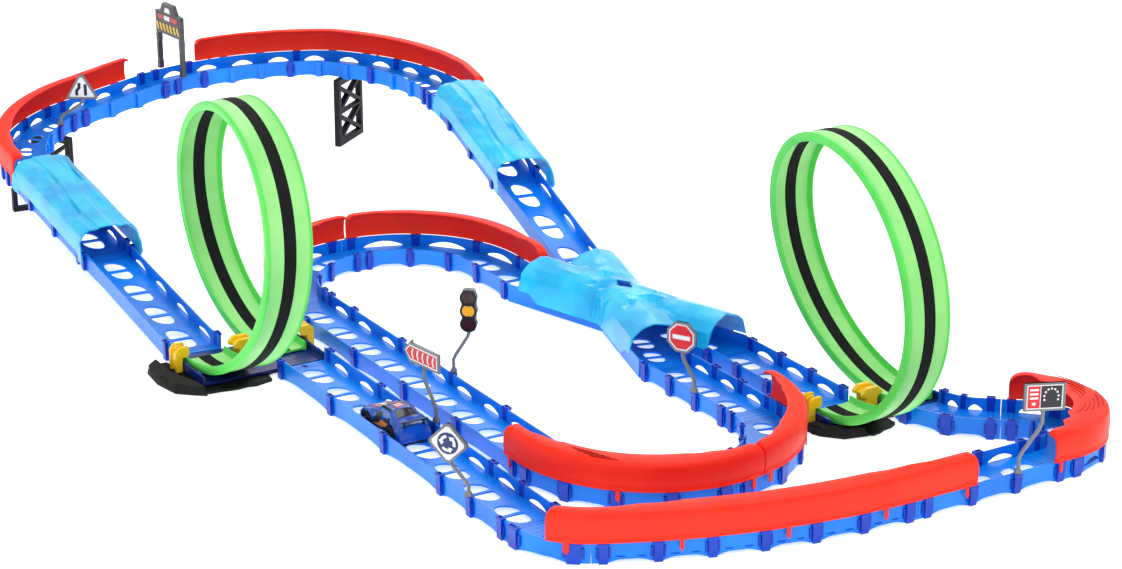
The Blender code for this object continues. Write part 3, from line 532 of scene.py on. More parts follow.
def channel(name, line, start, end, bays, door_side, bare):
    """One clip-together track piece."""
    made = Build("blue", "deep", "print_black")
    s0, s1 = start + 0.25, end - 0.25
    places = rib_places(start, end, bays)
    ribs = [s for k, s in enumerate(places) if k not in bare]
    curved = any(line.bent(s) for s in (s0, (s0 + s1) / 2, s1)) or len(line.heights) > 2
    holes = []
    for a, b in zip(places, places[1:]):
        holes += fins((a + b) / 2, b - a)
    if name == "track_outer":
        plug = [(s1 - 6 + 3.2 * math.cos(math.pi * k / 8), 3.2 * math.sin(math.pi * k / 8))
                for k in range(16)]
        holes.append(plug)
        made.plate(plug, [], lambda u, v, w: line.place(u, v, FLOOR - 0.7 - 0.9 * w), 2)
    step = 4.0 if curved else 12.0
    along = spaced(s0, s1, step)
    outline = [(s, -WALL_IN - 0.3) for s in along] + [(s, WALL_IN + 0.3) for s in reversed(along)]
    inner = [(s, a) for s in along[1:-1] for a in (-18.5, -15.5, 0, 15.5, 18.5)]
    inner = [p for p in inner if not any(within(p[0], p[1], h) for h in holes)]
    made.plate(outline, holes,
               lambda u, v, w: line.place(u, v, FLOOR - (FLOOR - FLOOR_LOW) * w), 0, inner)
    for side in (1, -1):
        add_wall(made, line, s0, s1, side, ribs, places, side == door_side,
                 name == "track_front_sweep" and side == 1)
        for number, s in enumerate(places):
            if number in bare:
                continue
            quiet = number in QUIET.get(name, ())
            low = quiet or covered(name, line, number, s, side)
            add_rib(made, line, s, side, WALL + (0.2 if low else 1.3), quiet)
    for s in (ribs[0], ribs[-1]):
        for ds in (-2.2, 2.2):
            bar = [(-20, FLOOR - 0.3), (20, FLOOR - 0.3), (19.6, FLOOR + 0.12),
                   (-19.6, FLOOR + 0.12)]
            made.loft([[line.place(s + ds + e, a, b) for a, b in bar] for e in (-0.35, 0.35)], 1)
    made.piece(name, nodes=(name,), sharp=30)


def cross_outline(half, reach):
    """The X of the two crossing lanes, this wide to each side, its ends moved out by reach."""
    x0, x1 = X_CROSS_REAR - reach, X_CROSS_FRONT + reach
    slope = LANE / (X_CROSS_FRONT - X_CROSS_REAR)
    wide = half * math.hypot(1, slope)
    out = slope * (x1 - X_MID)
    notch = wide / slope
    points = [(x0, Y_MID - out - wide), (X_MID, Y_MID - wide), (x1, Y_MID - out - wide)]
    points += [(x1, Y_MID - out + wide), (X_MID + notch, Y_MID), (x1, Y_MID + out - wide)]
    points += [(x1, Y_MID + out + wide), (X_MID, Y_MID + wide), (x0, Y_MID + out + wide)]
    points += [(x0, Y_MID + out - wide), (X_MID - notch, Y_MID), (x0, Y_MID - out + wide)]
    return points


def cross_arms():
    """The two crossing lanes as short straight lines."""
    length = math.hypot(X_CROSS_FRONT - X_CROSS_REAR, LANE)
    tilt = math.degrees(math.atan2(LANE, X_CROSS_FRONT - X_CROSS_REAR))
    return (Path(X_CROSS_REAR, Y_NEAR, tilt, [("straight", length)]),
            Path(X_CROSS_REAR, Y_FAR, -tilt, [("straight", length)]))


def crossing():
    """The crossing's floor and the walls between its four open ends."""
    made = Build("blue", "deep")
    floor = cross_outline(WALL_IN + 0.3, -0.25)
    holes = []
    for arm, side in zip(cross_arms(), (-1, 1)):
        for s in (24, 60, 188, 224):
            for hole in fins(s, 38):
                turned = []
                for u, a in hole:
                    p = arm.place(u, a, 0)
                    turned.append((p.x, p.y))
                if all(within(x, y, floor) for x, y in turned):
                    holes.append(turned)
    made.plate(floor, holes, lambda u, v, w: Vector((u, v, FLOOR - (FLOOR - FLOOR_LOW) * w)), 0)
    out, inn = cross_outline(OUT, -0.25), cross_outline(WALL_IN, -0.25)
    open_ends = (2, 5, 8, 11)
    for i in range(12):
        if i in open_ends:
            continue
        j = (i + 1) % 12
        ring = [out[i], out[j], inn[j], inn[i]]
        made.loft([[(x, y, 0) for x, y in ring], [(x, y, WALL) for x, y in ring]], 0)
    made.piece("crossing_track", nodes=("crossing_track",))


# ---------------------------------------------------------------- loops, decks, bases, latches
def loop_point(x0, y0, sign, wide, high, lean, turn):
    """A point of a loop's middle line: turn 0 to 1 goes round once, from one lane to the next."""
    a = 2 * math.pi * min(max(turn, 0.0), 1.0)
    lead = 14 * (min(turn, 0.0) + max(turn - 1.0, 0.0)) * 20
    x = x0 + sign * (wide * math.sin(a) + lead) + lean * (1 - math.cos(a)) / 2
    return Vector((x, y0 + LANE * a / (2 * math.pi) * sign, LOOP_LOW + high * (1 - math.cos(a))))


def loop(name, x0, y0, sign, wide, high, lean):
    """A loop's strip: bright rims, a paler channel and a black stripe down its middle."""
    made = Build("green", "pale_green", "stripe")
    half = [(5.5, -2.3), (5.9, -1.8), (18.8, -1.8), (19.4, -2.5), (21.2, -2.5), (22, -1.8),
            (22, 5.2), (21.4, 6), (20.4, 6), (19.9, 5.2), (19.6, 1.8), (18.2, 0.5), (14, 0.1),
            (5.9, 0.0), (5.6, 0.5)]
    section = mirrored(half, 5)
    mats = [0, 0, 1, 2, 2, 2, 1] + [0] * 9 + [1, 1, 2, 2, 2, 1, 1] + [0] * 7
    rings = []
    for t in [-0.05] + [k / 150 for k in range(151)] + [1.05]:
        p = loop_point(x0, y0, sign, wide, high, lean, t)
        ahead = loop_point(x0, y0, sign, wide, high, lean, t + 0.004)
        behind = loop_point(x0, y0, sign, wide, high, lean, t - 0.004)
        along = (ahead - behind).normalized()
        across = Vector((0, 1, 0))
        across = (across - along * across.dot(along)).normalized()
        inward = across.cross(along) if sign < 0 else along.cross(across)
        rings.append([p + across * a + inward * b for a, b in section])
    made.loft(rings, mats)
    made.piece(name, nodes=(name,), sharp=50)


DECK_LOW = 3.4          # underside of the decks and of the latches beside them
LOOP_LOW = 9.0          # lowest point of a loop's strip


def deck(side, x0, x1, y_mid, half):
    """The dark tray under a loop's two ends, with thick rounded walls and a recessed middle."""
    made = Build("navy", "deep")
    drops = ((0.8, DECK_LOW), (0, 4.2), (0, 12.4), (0.6, 13), (1.6, 13), (2.2, 12.2), (2.6, 7), (3.6, 6))
    section = mirrored([(half - a, b) for a, b in drops], 1)
    rings = [[(x, y_mid + a * k, DECK_LOW + (b - DECK_LOW) * j) for a, b in section]
             for x, k, j in ((x0, 0.995, 0.97), (x0 + 1, 1, 1), (x1 - 1, 1, 1), (x1, 0.995, 0.97))]
    made.loft(rings, 0)
    for y in (y_mid - 0.5, y_mid + 0.5):
        bar = [(-1, 5.8), (1, 5.8), (0.7, 6.25), (-0.7, 6.25)]
        made.loft([[(x, y + a, b) for a, b in bar] for x in (x0 + 6, x1 - 6)], 1)
    for at in (0.14, 0.5, 0.86):
        for end in (-1, 1):
            x = x0 + (x1 - x0) * at
            y = y_mid + end * (half - 1.2)
            ring = box(x - 3, y - 1.1, x + 3, y + 1.1)
            made.prism(ring, 4.4, 13.4 if at != 0.5 else 12.9, 1)
    made.piece("loop_deck_" + side, nodes=("loop_deck_" + side,), bevel=0.3)


def base(side, outline, kerb):
    """The black foot, moulded like broken rock: a plate with a craggy kerb along its free edge."""
    made = Build("rock")
    dense = divided(outline, 9.0)
    cx, cy = middle(dense)

    def pull(x, y, most):
        n = noise.noise(Vector((x * 0.16, y * 0.16, 1.7))) * 0.8 + 0.45
        d = math.hypot(x - cx, y - cy)
        back = 1 - most * min(1.0, max(0.0, n)) / max(d, 1)
        return cx + (x - cx) * back, cy + (y - cy) * back

    edge = [pull(x, y, 7.0) for x, y in dense]
    inner = [(x, y) for x in spaced(min(p[0] for p in edge), max(p[0] for p in edge), 6)
             for y in spaced(min(p[1] for p in edge), max(p[1] for p in edge), 6)]
    inner = [(x + 2 * noise.noise(Vector((x, y, 3.1))), y + 2 * noise.noise(Vector((x, y, 8.4))))
             for x, y in inner]
    inner = [p for p in inner if within(p[0], p[1], edge)]

    def top(x, y):
        n = noise.noise(Vector((x * 0.21, y * 0.21, 5.0)))
        m = noise.noise(Vector((x * 0.5, y * 0.5, 2.0)))
        return min(3.1, 2.5 + 0.6 * n + 0.3 * m)

    made.plate(edge, [], lambda u, v, w: Vector((u, v, 0.0 if w else top(u, v))), 0, inner)
    ridge = divided(kerb, 6.5)
    mx, my = middle(ridge)
    rings = []
    for z, most in ((0.4, 0.0), (3.6, 0.9), (6.4, 2.6), (8.7, 5.2)):
        ring = []
        for x, y in ridge:
            n = abs(noise.noise(Vector((x * 0.24, y * 0.24, z * 0.35)))) * 1.9
            d = math.hypot(x - mx, y - my)
            back = most * min(1.3, n + 0.25) / max(d, 1)
            up = z + (noise.noise(Vector((x * 0.3, y * 0.3, 9.0 + z))) * 1.5 if z > 1 else 0)
            ring.append((x + (mx - x) * back, y + (my - y) * back, min(9.0, max(0.3, up))))
        rings.append(ring)
    made.loft(rings, 0)
    made.piece("loop_base_" + side, nodes=("loop_base_" + side,), sharp=12)


def latch(name, x, y, out):
    """A yellow latch: two hooked cheeks joined by a lower web, with a thumb ridge on top."""
    made = Build("yellow")
    cheek = [(0.2, 0), (6.6, 0), (7.0, 0.8), (7.0, 18.6), (6.2, 20.6), (3.2, 23.6), (1.6, 24),
             (-6.2, 24), (-7.0, 23.2), (-7.0, 15.8), (-6.4, 15.1), (-4.2, 13.8), (-0.6, 13.8),
             (0.0, 13.2)]
    web = [(1.6, 0.6), (5.4, 0.6), (5.6, 16), (3.6, 20), (-0.6, 21.2), (-5.4, 20.4), (-5.6, 16.6),
           (-3.4, 15.2), (0.8, 15.2), (1.6, 14)]
    ridge = [(1.4, 21.4), (4.4, 19.2), (5.2, 21.8), (2.6, 24), (-1.4, 24), (-3.6, 21.8)]
    for profile, x0, x1 in ((cheek, -8, -4.2), (cheek, 4.2, 8), (web, -4.6, 4.6),
                            (ridge, -1.5, 1.5)):
        rings = [[(x + dx, y + a * out, DECK_LOW + b) for a, b in profile] for dx in (x0, x1)]
        made.loft(rings, 0)
    made.piece(name, body=name + "_piece", nodes=(name,), bevel=0.45, sharp=40)


def middle_latch(side, x, y):
    """The fixed yellow block between a loop's two ends: two cheeks and a lower, slimmer web."""
    made = Build("yellow")
    shape = mirrored([(6, 0), (6, 8.6), (7, 9.8), (10.6, 10.2), (11, 11), (11, 13.4), (7.6, 17),
                      (6, 18)], 1)
    slim = [(-4.2, 0.4), (4.2, 0.4), (4.2, 9), (9.2, 12), (5.6, 15.4), (0, 13.4), (-5.6, 15.4),
            (-9.2, 12), (-4.2, 9)]
    for profile, x0, x1 in ((shape, -8, -3.6), (shape, 3.6, 8), (slim, -4, 4)):
        made.loft([[(x + dx, y + a, 6.3 + b) for a, b in profile] for dx in (x0, x1)], 0)
    name = "latch_" + side + "_middle"
    made.piece(name, nodes=(name,), bevel=0.45, sharp=40)


# ---------------------------------------------------------------- guards
def guard(name, line, s0, s1, wide=6.0, pegs=(0.04, 0.5, 0.96), grooves=(), ends=(7, 7)):
    """A tall guard on a curve's left wall: a lip that leans inwards, grooves drawn as darker red lines
    of painted shade, and pegs below it.

    wide is how far the lip reaches in at the middle; pegs and grooves are shares of the length;
    ends is how far from each end the top edge starts to come down.
    """
    made = Build("red", "groove_shade")
    section = [(25.4, 18.4), (28.3, 18.4), (29.0, 19.0), (29.0, 20.6), (28.4, 21.4), (28.9, 25.6),
               (29.2, 30.4), (29.1, 35.4), (28.6, 40.0), (27.6, 43.2), (25.6, 45.0), (22.6, 45.8),
               (18.2, 46.0), (17.3, 45.6), (17.2, 44.8), (18.0, 44.3), (22.4, 44.0), (24.8, 43.0),
               (26.3, 40.6), (27.0, 35.4), (27.4, 30.4), (27.2, 25.6), (26.4, 21.4)]
    length = s1 - s0
    stations = spaced(s0, s1, 3.0)
    stations += [s0 + d for d in (0.4, 1.0, 2.0)] + [s1 - d for d in (0.4, 1.0, 2.0)]

    def lip(s):
        t = (s - s0) / length
        u = min(1.0, max(0.0, (0.5 - abs(t - 0.5)) * 5 - 0.6))
        return wide * (0.55 * min(1.0, u * 4) + 0.45 * min(1.0, max(0.0, u * 4 - 2.2)))

    rings = []
    for s in sorted(set(stations)):
        k = 1.0
        for d, reach in ((s - s0, ends[0]), (s1 - s, ends[1])):
            if d < reach:
                least = 0.86 if reach < 10 else 0.62
                k = least + (1 - least) * math.sqrt(max(0.0, 1 - (1 - d / reach) ** 2))
        ring = []
        for n, (a, b) in enumerate(section):
            inward = lip(s) * (1.0 if 11 <= n <= 16 else 0.25 if n in (10, 17) else 0.0)
            ring.append(line.place(s, a - inward, SEAT + (b - SEAT) * k))
        rings.append(ring)
    made.loft(rings, 0)
    # Each groove is a thin raised tube in the darker red: painted shade standing in for the shade inside
    # the moulded groove.
    for centre in grooves:
        for n in range(5):
            a0 = 25.0 - 0.9 * n - wide * 0.35 * n / 4 * 2
            first = s0 + length * centre - 20 + 5.2 * n
            line_points = []
            for k in range(7):
                s = first + 3.4 * k
                high = 45.75 if n else 45.3
                line_points.append(line.place(s, a0 - lip(s) * 0.12 * k / 6, high))
            made.tube(line_points, 0.42, 6, 1)
    for at in pegs:
        s = s0 + length * at
        head = [(-4.4, 19.4), (4.4, 19.4), (4.4, 21.2), (1.8, 22.4), (-1.8, 22.4), (-4.4, 21.2)]
        spike = [(-1.5, 20), (-1.5, 11.5), (0, 8.6), (1.5, 11.5), (1.5, 20)]
        for profile, a0, a1 in ((head, 28.0, 29.1), (spike, 27.9, 29.0)):
            made.loft([[line.place(s + d, a, b) for d, b in profile] for a in (a0, a1)], 0)
    made.piece(name, nodes=(name,), sharp=48)


# ---------------------------------------------------------------- see-through covers
def tunnel(name, line, s0, s1):
    """A hood of clear plastic: flat sloping sides, a ridged roof, rolled ends and side flaps."""
    made = Build("cyan")
    length = s1 - s0
    rings = []
    for s in spaced(s0, s1, 3.0):
        t = (s - s0) / length
        end = abs(2 * t - 1)
        swell = math.sin(math.pi * t) ** 0.6
        scoop = 2.6 * math.exp(-((t - 0.30) / 0.10) ** 4) + 2.4 * math.exp(-((t - 0.70) / 0.09) ** 4)
        half = 30.2 + 1.5 * end ** 8
        top = 44.5 + 2.2 * swell + 1.0 * end ** 8
        drop = 2.0 + 4.0 * max(0.0, end - 0.86) / 0.14
        slide = 0.10 * math.sin(math.pi * 2 * t)
        profile = [(1.0, SEAT - drop), (1.0, SEAT + 3), (0.985, SEAT + 13), (0.90, SEAT + 19),
                   (0.80, top - 4.4), (0.62 + slide, top - 1.6), (0.56 + slide, top - 2.0 - scoop),
                   (0.36 + slide, top - 1.6 - scoop), (0.30 + slide, top - 0.3), (0.0, top + 0.5)]
        outer = [(half * a, b) for a, b in profile]
        far = [(-half * a, b) for a, b in (
            (1.0, SEAT - drop), (1.0 + 0.02 * swell, SEAT + 5), (1.0 + 0.02 * swell, SEAT + 15),
            (0.93, SEAT + 20.5), (0.84, top - 3.4), (0.60, top - 1.0 + 0.4 * swell),
            (0.52 - slide, top - 1.2 - 0.7 * scoop), (0.34 - slide, top - 1.0 - 0.7 * scoop),
            (0.26 - slide, top + 0.2))]
        outer += far[::-1]
        inner = [(a * 0.955, SEAT - drop + (b - SEAT + drop) * 0.955) for a, b in outer]
        rings.append([line.place(s, a, b) for a, b in outer + inner[::-1]])
    made.loft(rings, 0)
    for s, lean in ((s0, -1), (s1, 1)):
        for side in (1, -1):
            flap = [(-9, 9), (-11, 20), (0, 31), (5.5, 26), (8, 16), (4, 10)]
            made.loft([[line.place(s + lean * d, side * (a + 0.12 * d), b) for d, b in flap]
                       for a in (30.6, 31.8)], 0)
    made.piece(name, body=name + "_piece", nodes=(name,), sharp=24)


# The crossing cover's thickness, how far its side skirts hang and its highest point.
SHEET, SKIRT, COVER_TOP = 1.5, 8.5, 46.9


def crossing_cover():
    """A folded, low-poly X of clear plastic over the crossing, with a diamond window."""
    made = Build("cyan")
    arms = cross_arms()
    reach = {0: (-10.0, 2.0), 1: (-18.0, -12.0)}
    half = 29.3
    outlines = []
    for i, arm in enumerate(arms):
        lo, hi = -reach[i][0], arm.length + reach[i][1]
        corners = []
        for s, a in ((lo, -half), (hi, -half), (hi, half), (lo, half)):
            p = arm.place(s, a, 0)
            corners.append((p.x, p.y))
        outlines.append((corners, lo, hi, arm))

    def roof(s, a, lo, hi):
        """The folded section: shoulders, a crease and a keel, stepping along the arm."""
        t = (s - lo) / (hi - lo)
        u = abs(a) / half
        fold = 3.0 * abs(((t * 2.5 + 0.3 * (a > 0)) % 1.0) - 0.5) * 2
        if u > 0.9:
            hang = SKIRT * min(1.0, max(0.0, (min(s - lo, hi - s) - 16) / 8))
            return SEAT - hang + (13.6 + hang) * (1 - u) / 0.1
        if u > 0.55:
            return SEAT + 13.6 + (9.5 - fold * 0.6) * (0.9 - u) / 0.35
        if u > 0.3:
            return SEAT + 23.1 - fold * 0.6 + (2.4 - 3.0 * (0.3 < t < 0.42 or 0.6 < t < 0.7)) * (
                0.55 - u) / 0.25
        return SEAT + 25.5 - fold * 0.6 + (2.4 - fold * 0.5) * (0.3 - u) / 0.3

    def height(x, y):
        best = SEAT - SKIRT
        for _corners, lo, hi, arm in outlines:
            px, py, h = arm.at(0)
            s = (x - px) * math.cos(h) + (y - py) * math.sin(h)
            a = -(x - px) * math.sin(h) + (y - py) * math.cos(h)
            if lo - 0.01 <= s <= hi + 0.01 and abs(a) <= half + 0.01:
                best = max(best, roof(s, a, lo, hi))
        return min(best, COVER_TOP)

    union = union_outline([row[0] for row in outlines])
    inner = []
    for _corners, lo, hi, arm in outlines:
        for n, s in enumerate(spaced(lo + 2, hi - 2, 11.0)):
            for u in (-0.9, -0.6, -0.3, 0.02, 0.3, 0.6, 0.9):
                p = arm.place(s + (4.0 if n % 2 and abs(u) < 0.5 else 0.0), u * half, 0)
                if within(p.x, p.y, union):
                    inner.append((p.x, p.y))
    window = [(X_MID - 15, Y_MID), (X_MID - 2, Y_MID - 7), (X_MID + 13, Y_MID), (X_MID - 2, Y_MID + 7)]
    inner = [p for p in inner if not within(p[0], p[1], window)]
    made.plate(divided(union, 5.0), [window],
               lambda u, v, w: Vector((u, v, height(u, v) - SHEET * w)), 0, inner)
    made.piece("crossing_cover", body="crossing_cover_piece", nodes=("crossing_cover",), sharp=14)


def union_outline(quads):
    """The outline round two crossing rectangles, going round once."""
    points = []

    def cross(p, q, r, s):
        d = (q[0] - p[0]) * (s[1] - r[1]) - (q[1] - p[1]) * (s[0] - r[0])
        if abs(d) < 1e-9:
            return None
        t = ((r[0] - p[0]) * (s[1] - r[1]) - (r[1] - p[1]) * (s[0] - r[0])) / d
        u = ((r[0] - p[0]) * (q[1] - p[1]) - (r[1] - p[1]) * (q[0] - p[0])) / d
        if 0 < t < 1 and 0 < u < 1:
            return (p[0] + (q[0] - p[0]) * t, p[1] + (q[1] - p[1]) * t)
        return None

    first, second = quads
    for mine, other in ((first, second), (second, first)):
        points += [p for p in mine if not within(p[0], p[1], other)]
    for i in range(4):
        for j in range(4):
            hit = cross(first[i], first[(i + 1) % 4], second[j], second[(j + 1) % 4])
            if hit:
                points.append(hit)
    # The X is star-shaped about its middle, so its corners go round by angle.
    return sorted(points, key=lambda p: math.atan2(p[1] - Y_MID, p[0] - X_MID))


# ---------------------------------------------------------------- supports
def soften(name, key, width=0.5):
    """A CAD node kept as it is, with softened edges and a finished material."""
    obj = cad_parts[name]
    obj.data.materials.clear()
    obj.data.materials.append(MATS[key])
    weld = obj.modifiers.new("weld", "WELD")
    weld.merge_threshold = 1e-5
    mod = obj.modifiers.new("soft_edges", "BEVEL")
    mod.width, mod.segments = width * MM, 2
    mod.limit_method, mod.angle_limit = "ANGLE", math.radians(40)


# ---------------------------------------------------------------- signs and gate
def polygon(sides, radius, turn=0.0, cx=0.0, cy=0.0):
    angles = [2 * math.pi * k / sides + math.radians(turn) for k in range(sides)]
    return [(cx + radius * math.cos(a), cy + radius * math.sin(a)) for a in angles]


def scaled(outline, k):
    return [(a * k, b * k) for a, b in outline]


def ribbon(points, half):
    """A polyline with width, as an outline."""
    left, right = [], []
    for i, (x, y) in enumerate(points):
        ax, ay = points[max(i - 1, 0)]
        bx, by = points[min(i + 1, len(points) - 1)]
        d = math.hypot(bx - ax, by - ay) or 1.0
        nx, ny = -(by - ay) / d * half, (bx - ax) / d * half
        left.append((x + nx, y + ny))
        right.append((x - nx, y - ny))
    return left + right[::-1]


class Sign:
    """A bent post with a clip foot, a plate at its head and printed shapes on its face."""

    def __init__(self, name, base_point, angle, shift, high, materials, size=1.0):
        self.name, self.size = name, size
        self.made = Build("grey", *materials)
        a = math.radians(angle)
        self.u = Vector((math.cos(a), math.sin(a), 0))
        self.n = Vector((math.sin(a), -math.cos(a), 0))
        foot = Vector(base_point)
        up = Vector((0, 0, 1))
        bends = ((0, 0.10), (0, 0.20), (0.12, 0.27), (0.5, 0.42), (0.88, 0.57), (1, 0.66))
        line = [foot + up * 0.2]
        line += [foot + self.u * shift * k + up * high * j for k, j in bends]
        line.append(foot + self.u * shift + up * (high + 2))
        self.made.tube(line, 1.7, 12, 0)
        clip, small = ([foot + self.u * a * k + self.n * b * j for a, b in box(-3.2, -1.9, 3.2, 1.9)]
                       for k, j in ((1, 1), (0.6, 0.8)))
        self.made.loft([clip, [p + up * 1.6 for p in clip], [p + up * 4.2 for p in small]], 0)
        self.centre = foot + self.u * shift + self.n * 1.6 + up * high

    def shape(self, outline, front, thick, mat, holes=()):
        """A printed or moulded layer, its front face this far before the plate's middle."""
        k = self.size
        self.made.plate(list(outline), list(holes), lambda a, b, w: self.centre + self.u * a * k
                        + Vector((0, 0, b * k)) + self.n * (front - thick * w), mat)

    def frame(self, outline, k, mat=0, rise=1.75):
        """A raised border along the plate's edge."""
        self.shape(outline, rise, rise + 1.2, mat, [scaled(outline, k)])

    def done(self):
        self.made.piece(self.name, body=self.name + "_piece", nodes=(self.name,), sharp=40)


def rib_top(name, number, side, lift=0.3):
    """Where a sign's foot stands: the top of a rib, by its track piece and number along it."""
    line, start, end, bays = next(row[1:5] for row in TRACK if row[0] == name)
    return line.place(rib_places(start, end, bays)[number], side * RIB_MID, WALL + lift)


def signs():
    tri = [(-17, -11), (17, -11), (17, -8), (2, 17), (-2, 17), (-17, -8)]
    sign = Sign("sign_triangle", rib_top("raised_curve_left", 3, -1, 1.2),
                58, 26, 42, ("white", "print_black"))
    sign.shape(tri, 1.2, 2.4, 0)
    sign.frame(tri, 0.80)
    sign.shape(scaled(tri, 0.82), 1.45, 0.5, 1)
    sign.shape(ribbon([(-5.6, -7), (-5.6, -1.5), (-2.6, 2), (-2.6, 7.5)], 1.7), 1.6, 0.4, 2)
    sign.shape(ribbon([(4.2, -7), (4.2, 6)], 1.7), 1.6, 0.4, 2)
    sign.done()

    arrow = [(-26, 0), (-14, 12), (-14, 9), (25, 9), (25, -9), (-14, -9), (-14, -12)]
    inset = [(-23.2, 0), (-15.4, 8), (-15.4, 6.8), (22.8, 6.8), (22.8, -6.8), (-15.4, -6.8),
             (-15.4, -8)]
    field = [(-21.6, 0), (-16.2, 5.4), (-16.2, 5.6), (21.6, 5.6), (21.6, -5.6), (-16.2, -5.6),
             (-16.2, -5.4)]
    sign = Sign("sign_arrow", rib_top("track_outer", 4, -1), 8, -17, 56,
                ("white", "print_red", "print_black"))
    sign.shape(arrow, 1.2, 2.4, 0)
    sign.shape(inset, 1.4, 0.5, 1)
    sign.shape(field, 1.55, 0.5, 2)
    for k in range(5):
        x = -14 + 7.4 * k
        sign.shape([(x, 0), (x + 1.6, 4.6), (x + 3.4, 4.6), (x + 1.8, 0), (x + 3.4, -4.6),
                    (x + 1.6, -4.6)], 1.68, 0.5, 1)
    sign.done()

    diamond = polygon(4, 19)
    soft = []
    for k in range(4):
        c = diamond[k]
        for t in (-0.09, 0.09):
            other = diamond[(k + (1 if t > 0 else -1)) % 4]
            soft.append((c[0] + (other[0] - c[0]) * abs(t), c[1] + (other[1] - c[1]) * abs(t)))
    sign = Sign("sign_diamond", rib_top("track_outer", 1, 1), 34, -17, 45,
                ("white", "print_navy"))
    sign.shape(soft, 1.2, 2.4, 0)
    sign.frame(soft, 0.86)
    sign.shape(scaled(soft, 0.88), 1.45, 0.5, 1)
    sign.shape(polygon(40, 9.6), 1.58, 0.4, 2)
    for k in range(3):
        a0 = math.radians(100 + 120 * k)
        arc = [(6.1 * math.cos(a0 + t), 6.1 * math.sin(a0 + t)) for t in
               (0.0, 0.22, 0.44, 0.66, 0.88, 1.1)]
        sign.shape(ribbon(arc, 1.25), 1.72, 0.4, 1)
        a1 = a0 + 1.1
        tip = [(6.1 * math.cos(a1 + 0.62), 6.1 * math.sin(a1 + 0.62)),
               (3.4 * math.cos(a1), 3.4 * math.sin(a1)), (8.8 * math.cos(a1), 8.8 * math.sin(a1))]
        sign.shape(tip, 1.72, 0.4, 1)
    sign.done()

    octagon = polygon(8, 15.5, 22.5)
    sign = Sign("sign_octagon", rib_top("track_near", 2, -1), 30, -12, 51,
                ("white", "print_red"))
    sign.shape(octagon, 1.2, 2.4, 0)
    sign.frame(octagon, 0.87)
    sign.shape(scaled(octagon, 0.89), 1.4, 0.5, 1)
    sign.shape(scaled(octagon, 0.77), 1.52, 0.5, 2)
    sign.shape(box(-8.6, -2, 8.6, 2), 1.66, 0.5, 1)
    sign.done()

    panel = box(-20, -14, 20, 14)
    sign = Sign("sign_panel", rib_top("track_front_right", 1, 1), 66, 18, 69,
                ("print_red", "print_black", "white"), 0.88)
    sign.shape(panel, 1.2, 2.4, 0)
    sign.frame(panel, 0.88)
    sign.shape(box(-17.8, -12.4, 17.8, 12.4), 1.35, 0.5, 3)
    sign.shape(box(-16.4, -11, -4.6, 11), 1.5, 0.5, 1)
    for y in (-2.0, 2.2, 6.4):
        sign.shape(box(-14.6, y, -6.4, y + 2.0), 1.62, 0.5, 3)
    sign.shape(box(-12.2, -8, -8.8, -5.4), 1.62, 0.5, 3)
    sign.shape(box(-3.8, -11, 16.4, 11), 1.48, 0.5, 2)
    sign.shape([(-1.0, -9), (3.2, -9), (3.6, -1), (7.6, -1), (8.4, -9), (13.2, -9), (13.6, 2),
                (11, 7), (6.2, 9), (1.6, 7), (-1.0, 2)], 1.62, 0.5, 2)
    for k in range(9):
        a = math.radians(-20 + 27.5 * k)
        c, s = math.cos(a), math.sin(a)
        x, y = 6.2 + 7.0 * c, 8.4 * s
        sign.shape(box(x - 0.9, y - 0.9, x + 0.9, y + 0.9), 1.76, 0.5, 3)
    sign.done()

    sign = Sign("traffic_light", rib_top("track_inner", 4, -1), 50, 15, 62,
                ("print_black", "dark_lamp", "amber", "grey"))
    body = mirrored([(5.5, -19.6), (7.6, -14), (6.4, -7), (7.8, -1), (6.6, 5.6), (7.6, 12),
                     (5.2, 19.6)], 1)
    sign.shape(body, 2.0, 6.4, 0)
    for y, lamp in ((12.4, 2), (0.0, 3), (-12.6, 2)):
        sign.shape(polygon(32, 7.6, 0, 0, y), 3.6, 4.6, 1)
        sign.shape(polygon(32, 7.8, 0, 0, y), 4.5, 1.6, 1, [polygon(32, 6.0, 0, 0, y)])
        sign.shape(polygon(32, 5.7, 0, 0, y), 4.1, 1.0, lamp)
        sign.shape(polygon(32, 4.0, 0, 0, y), 4.4, 1.0, lamp)
    sign.done()


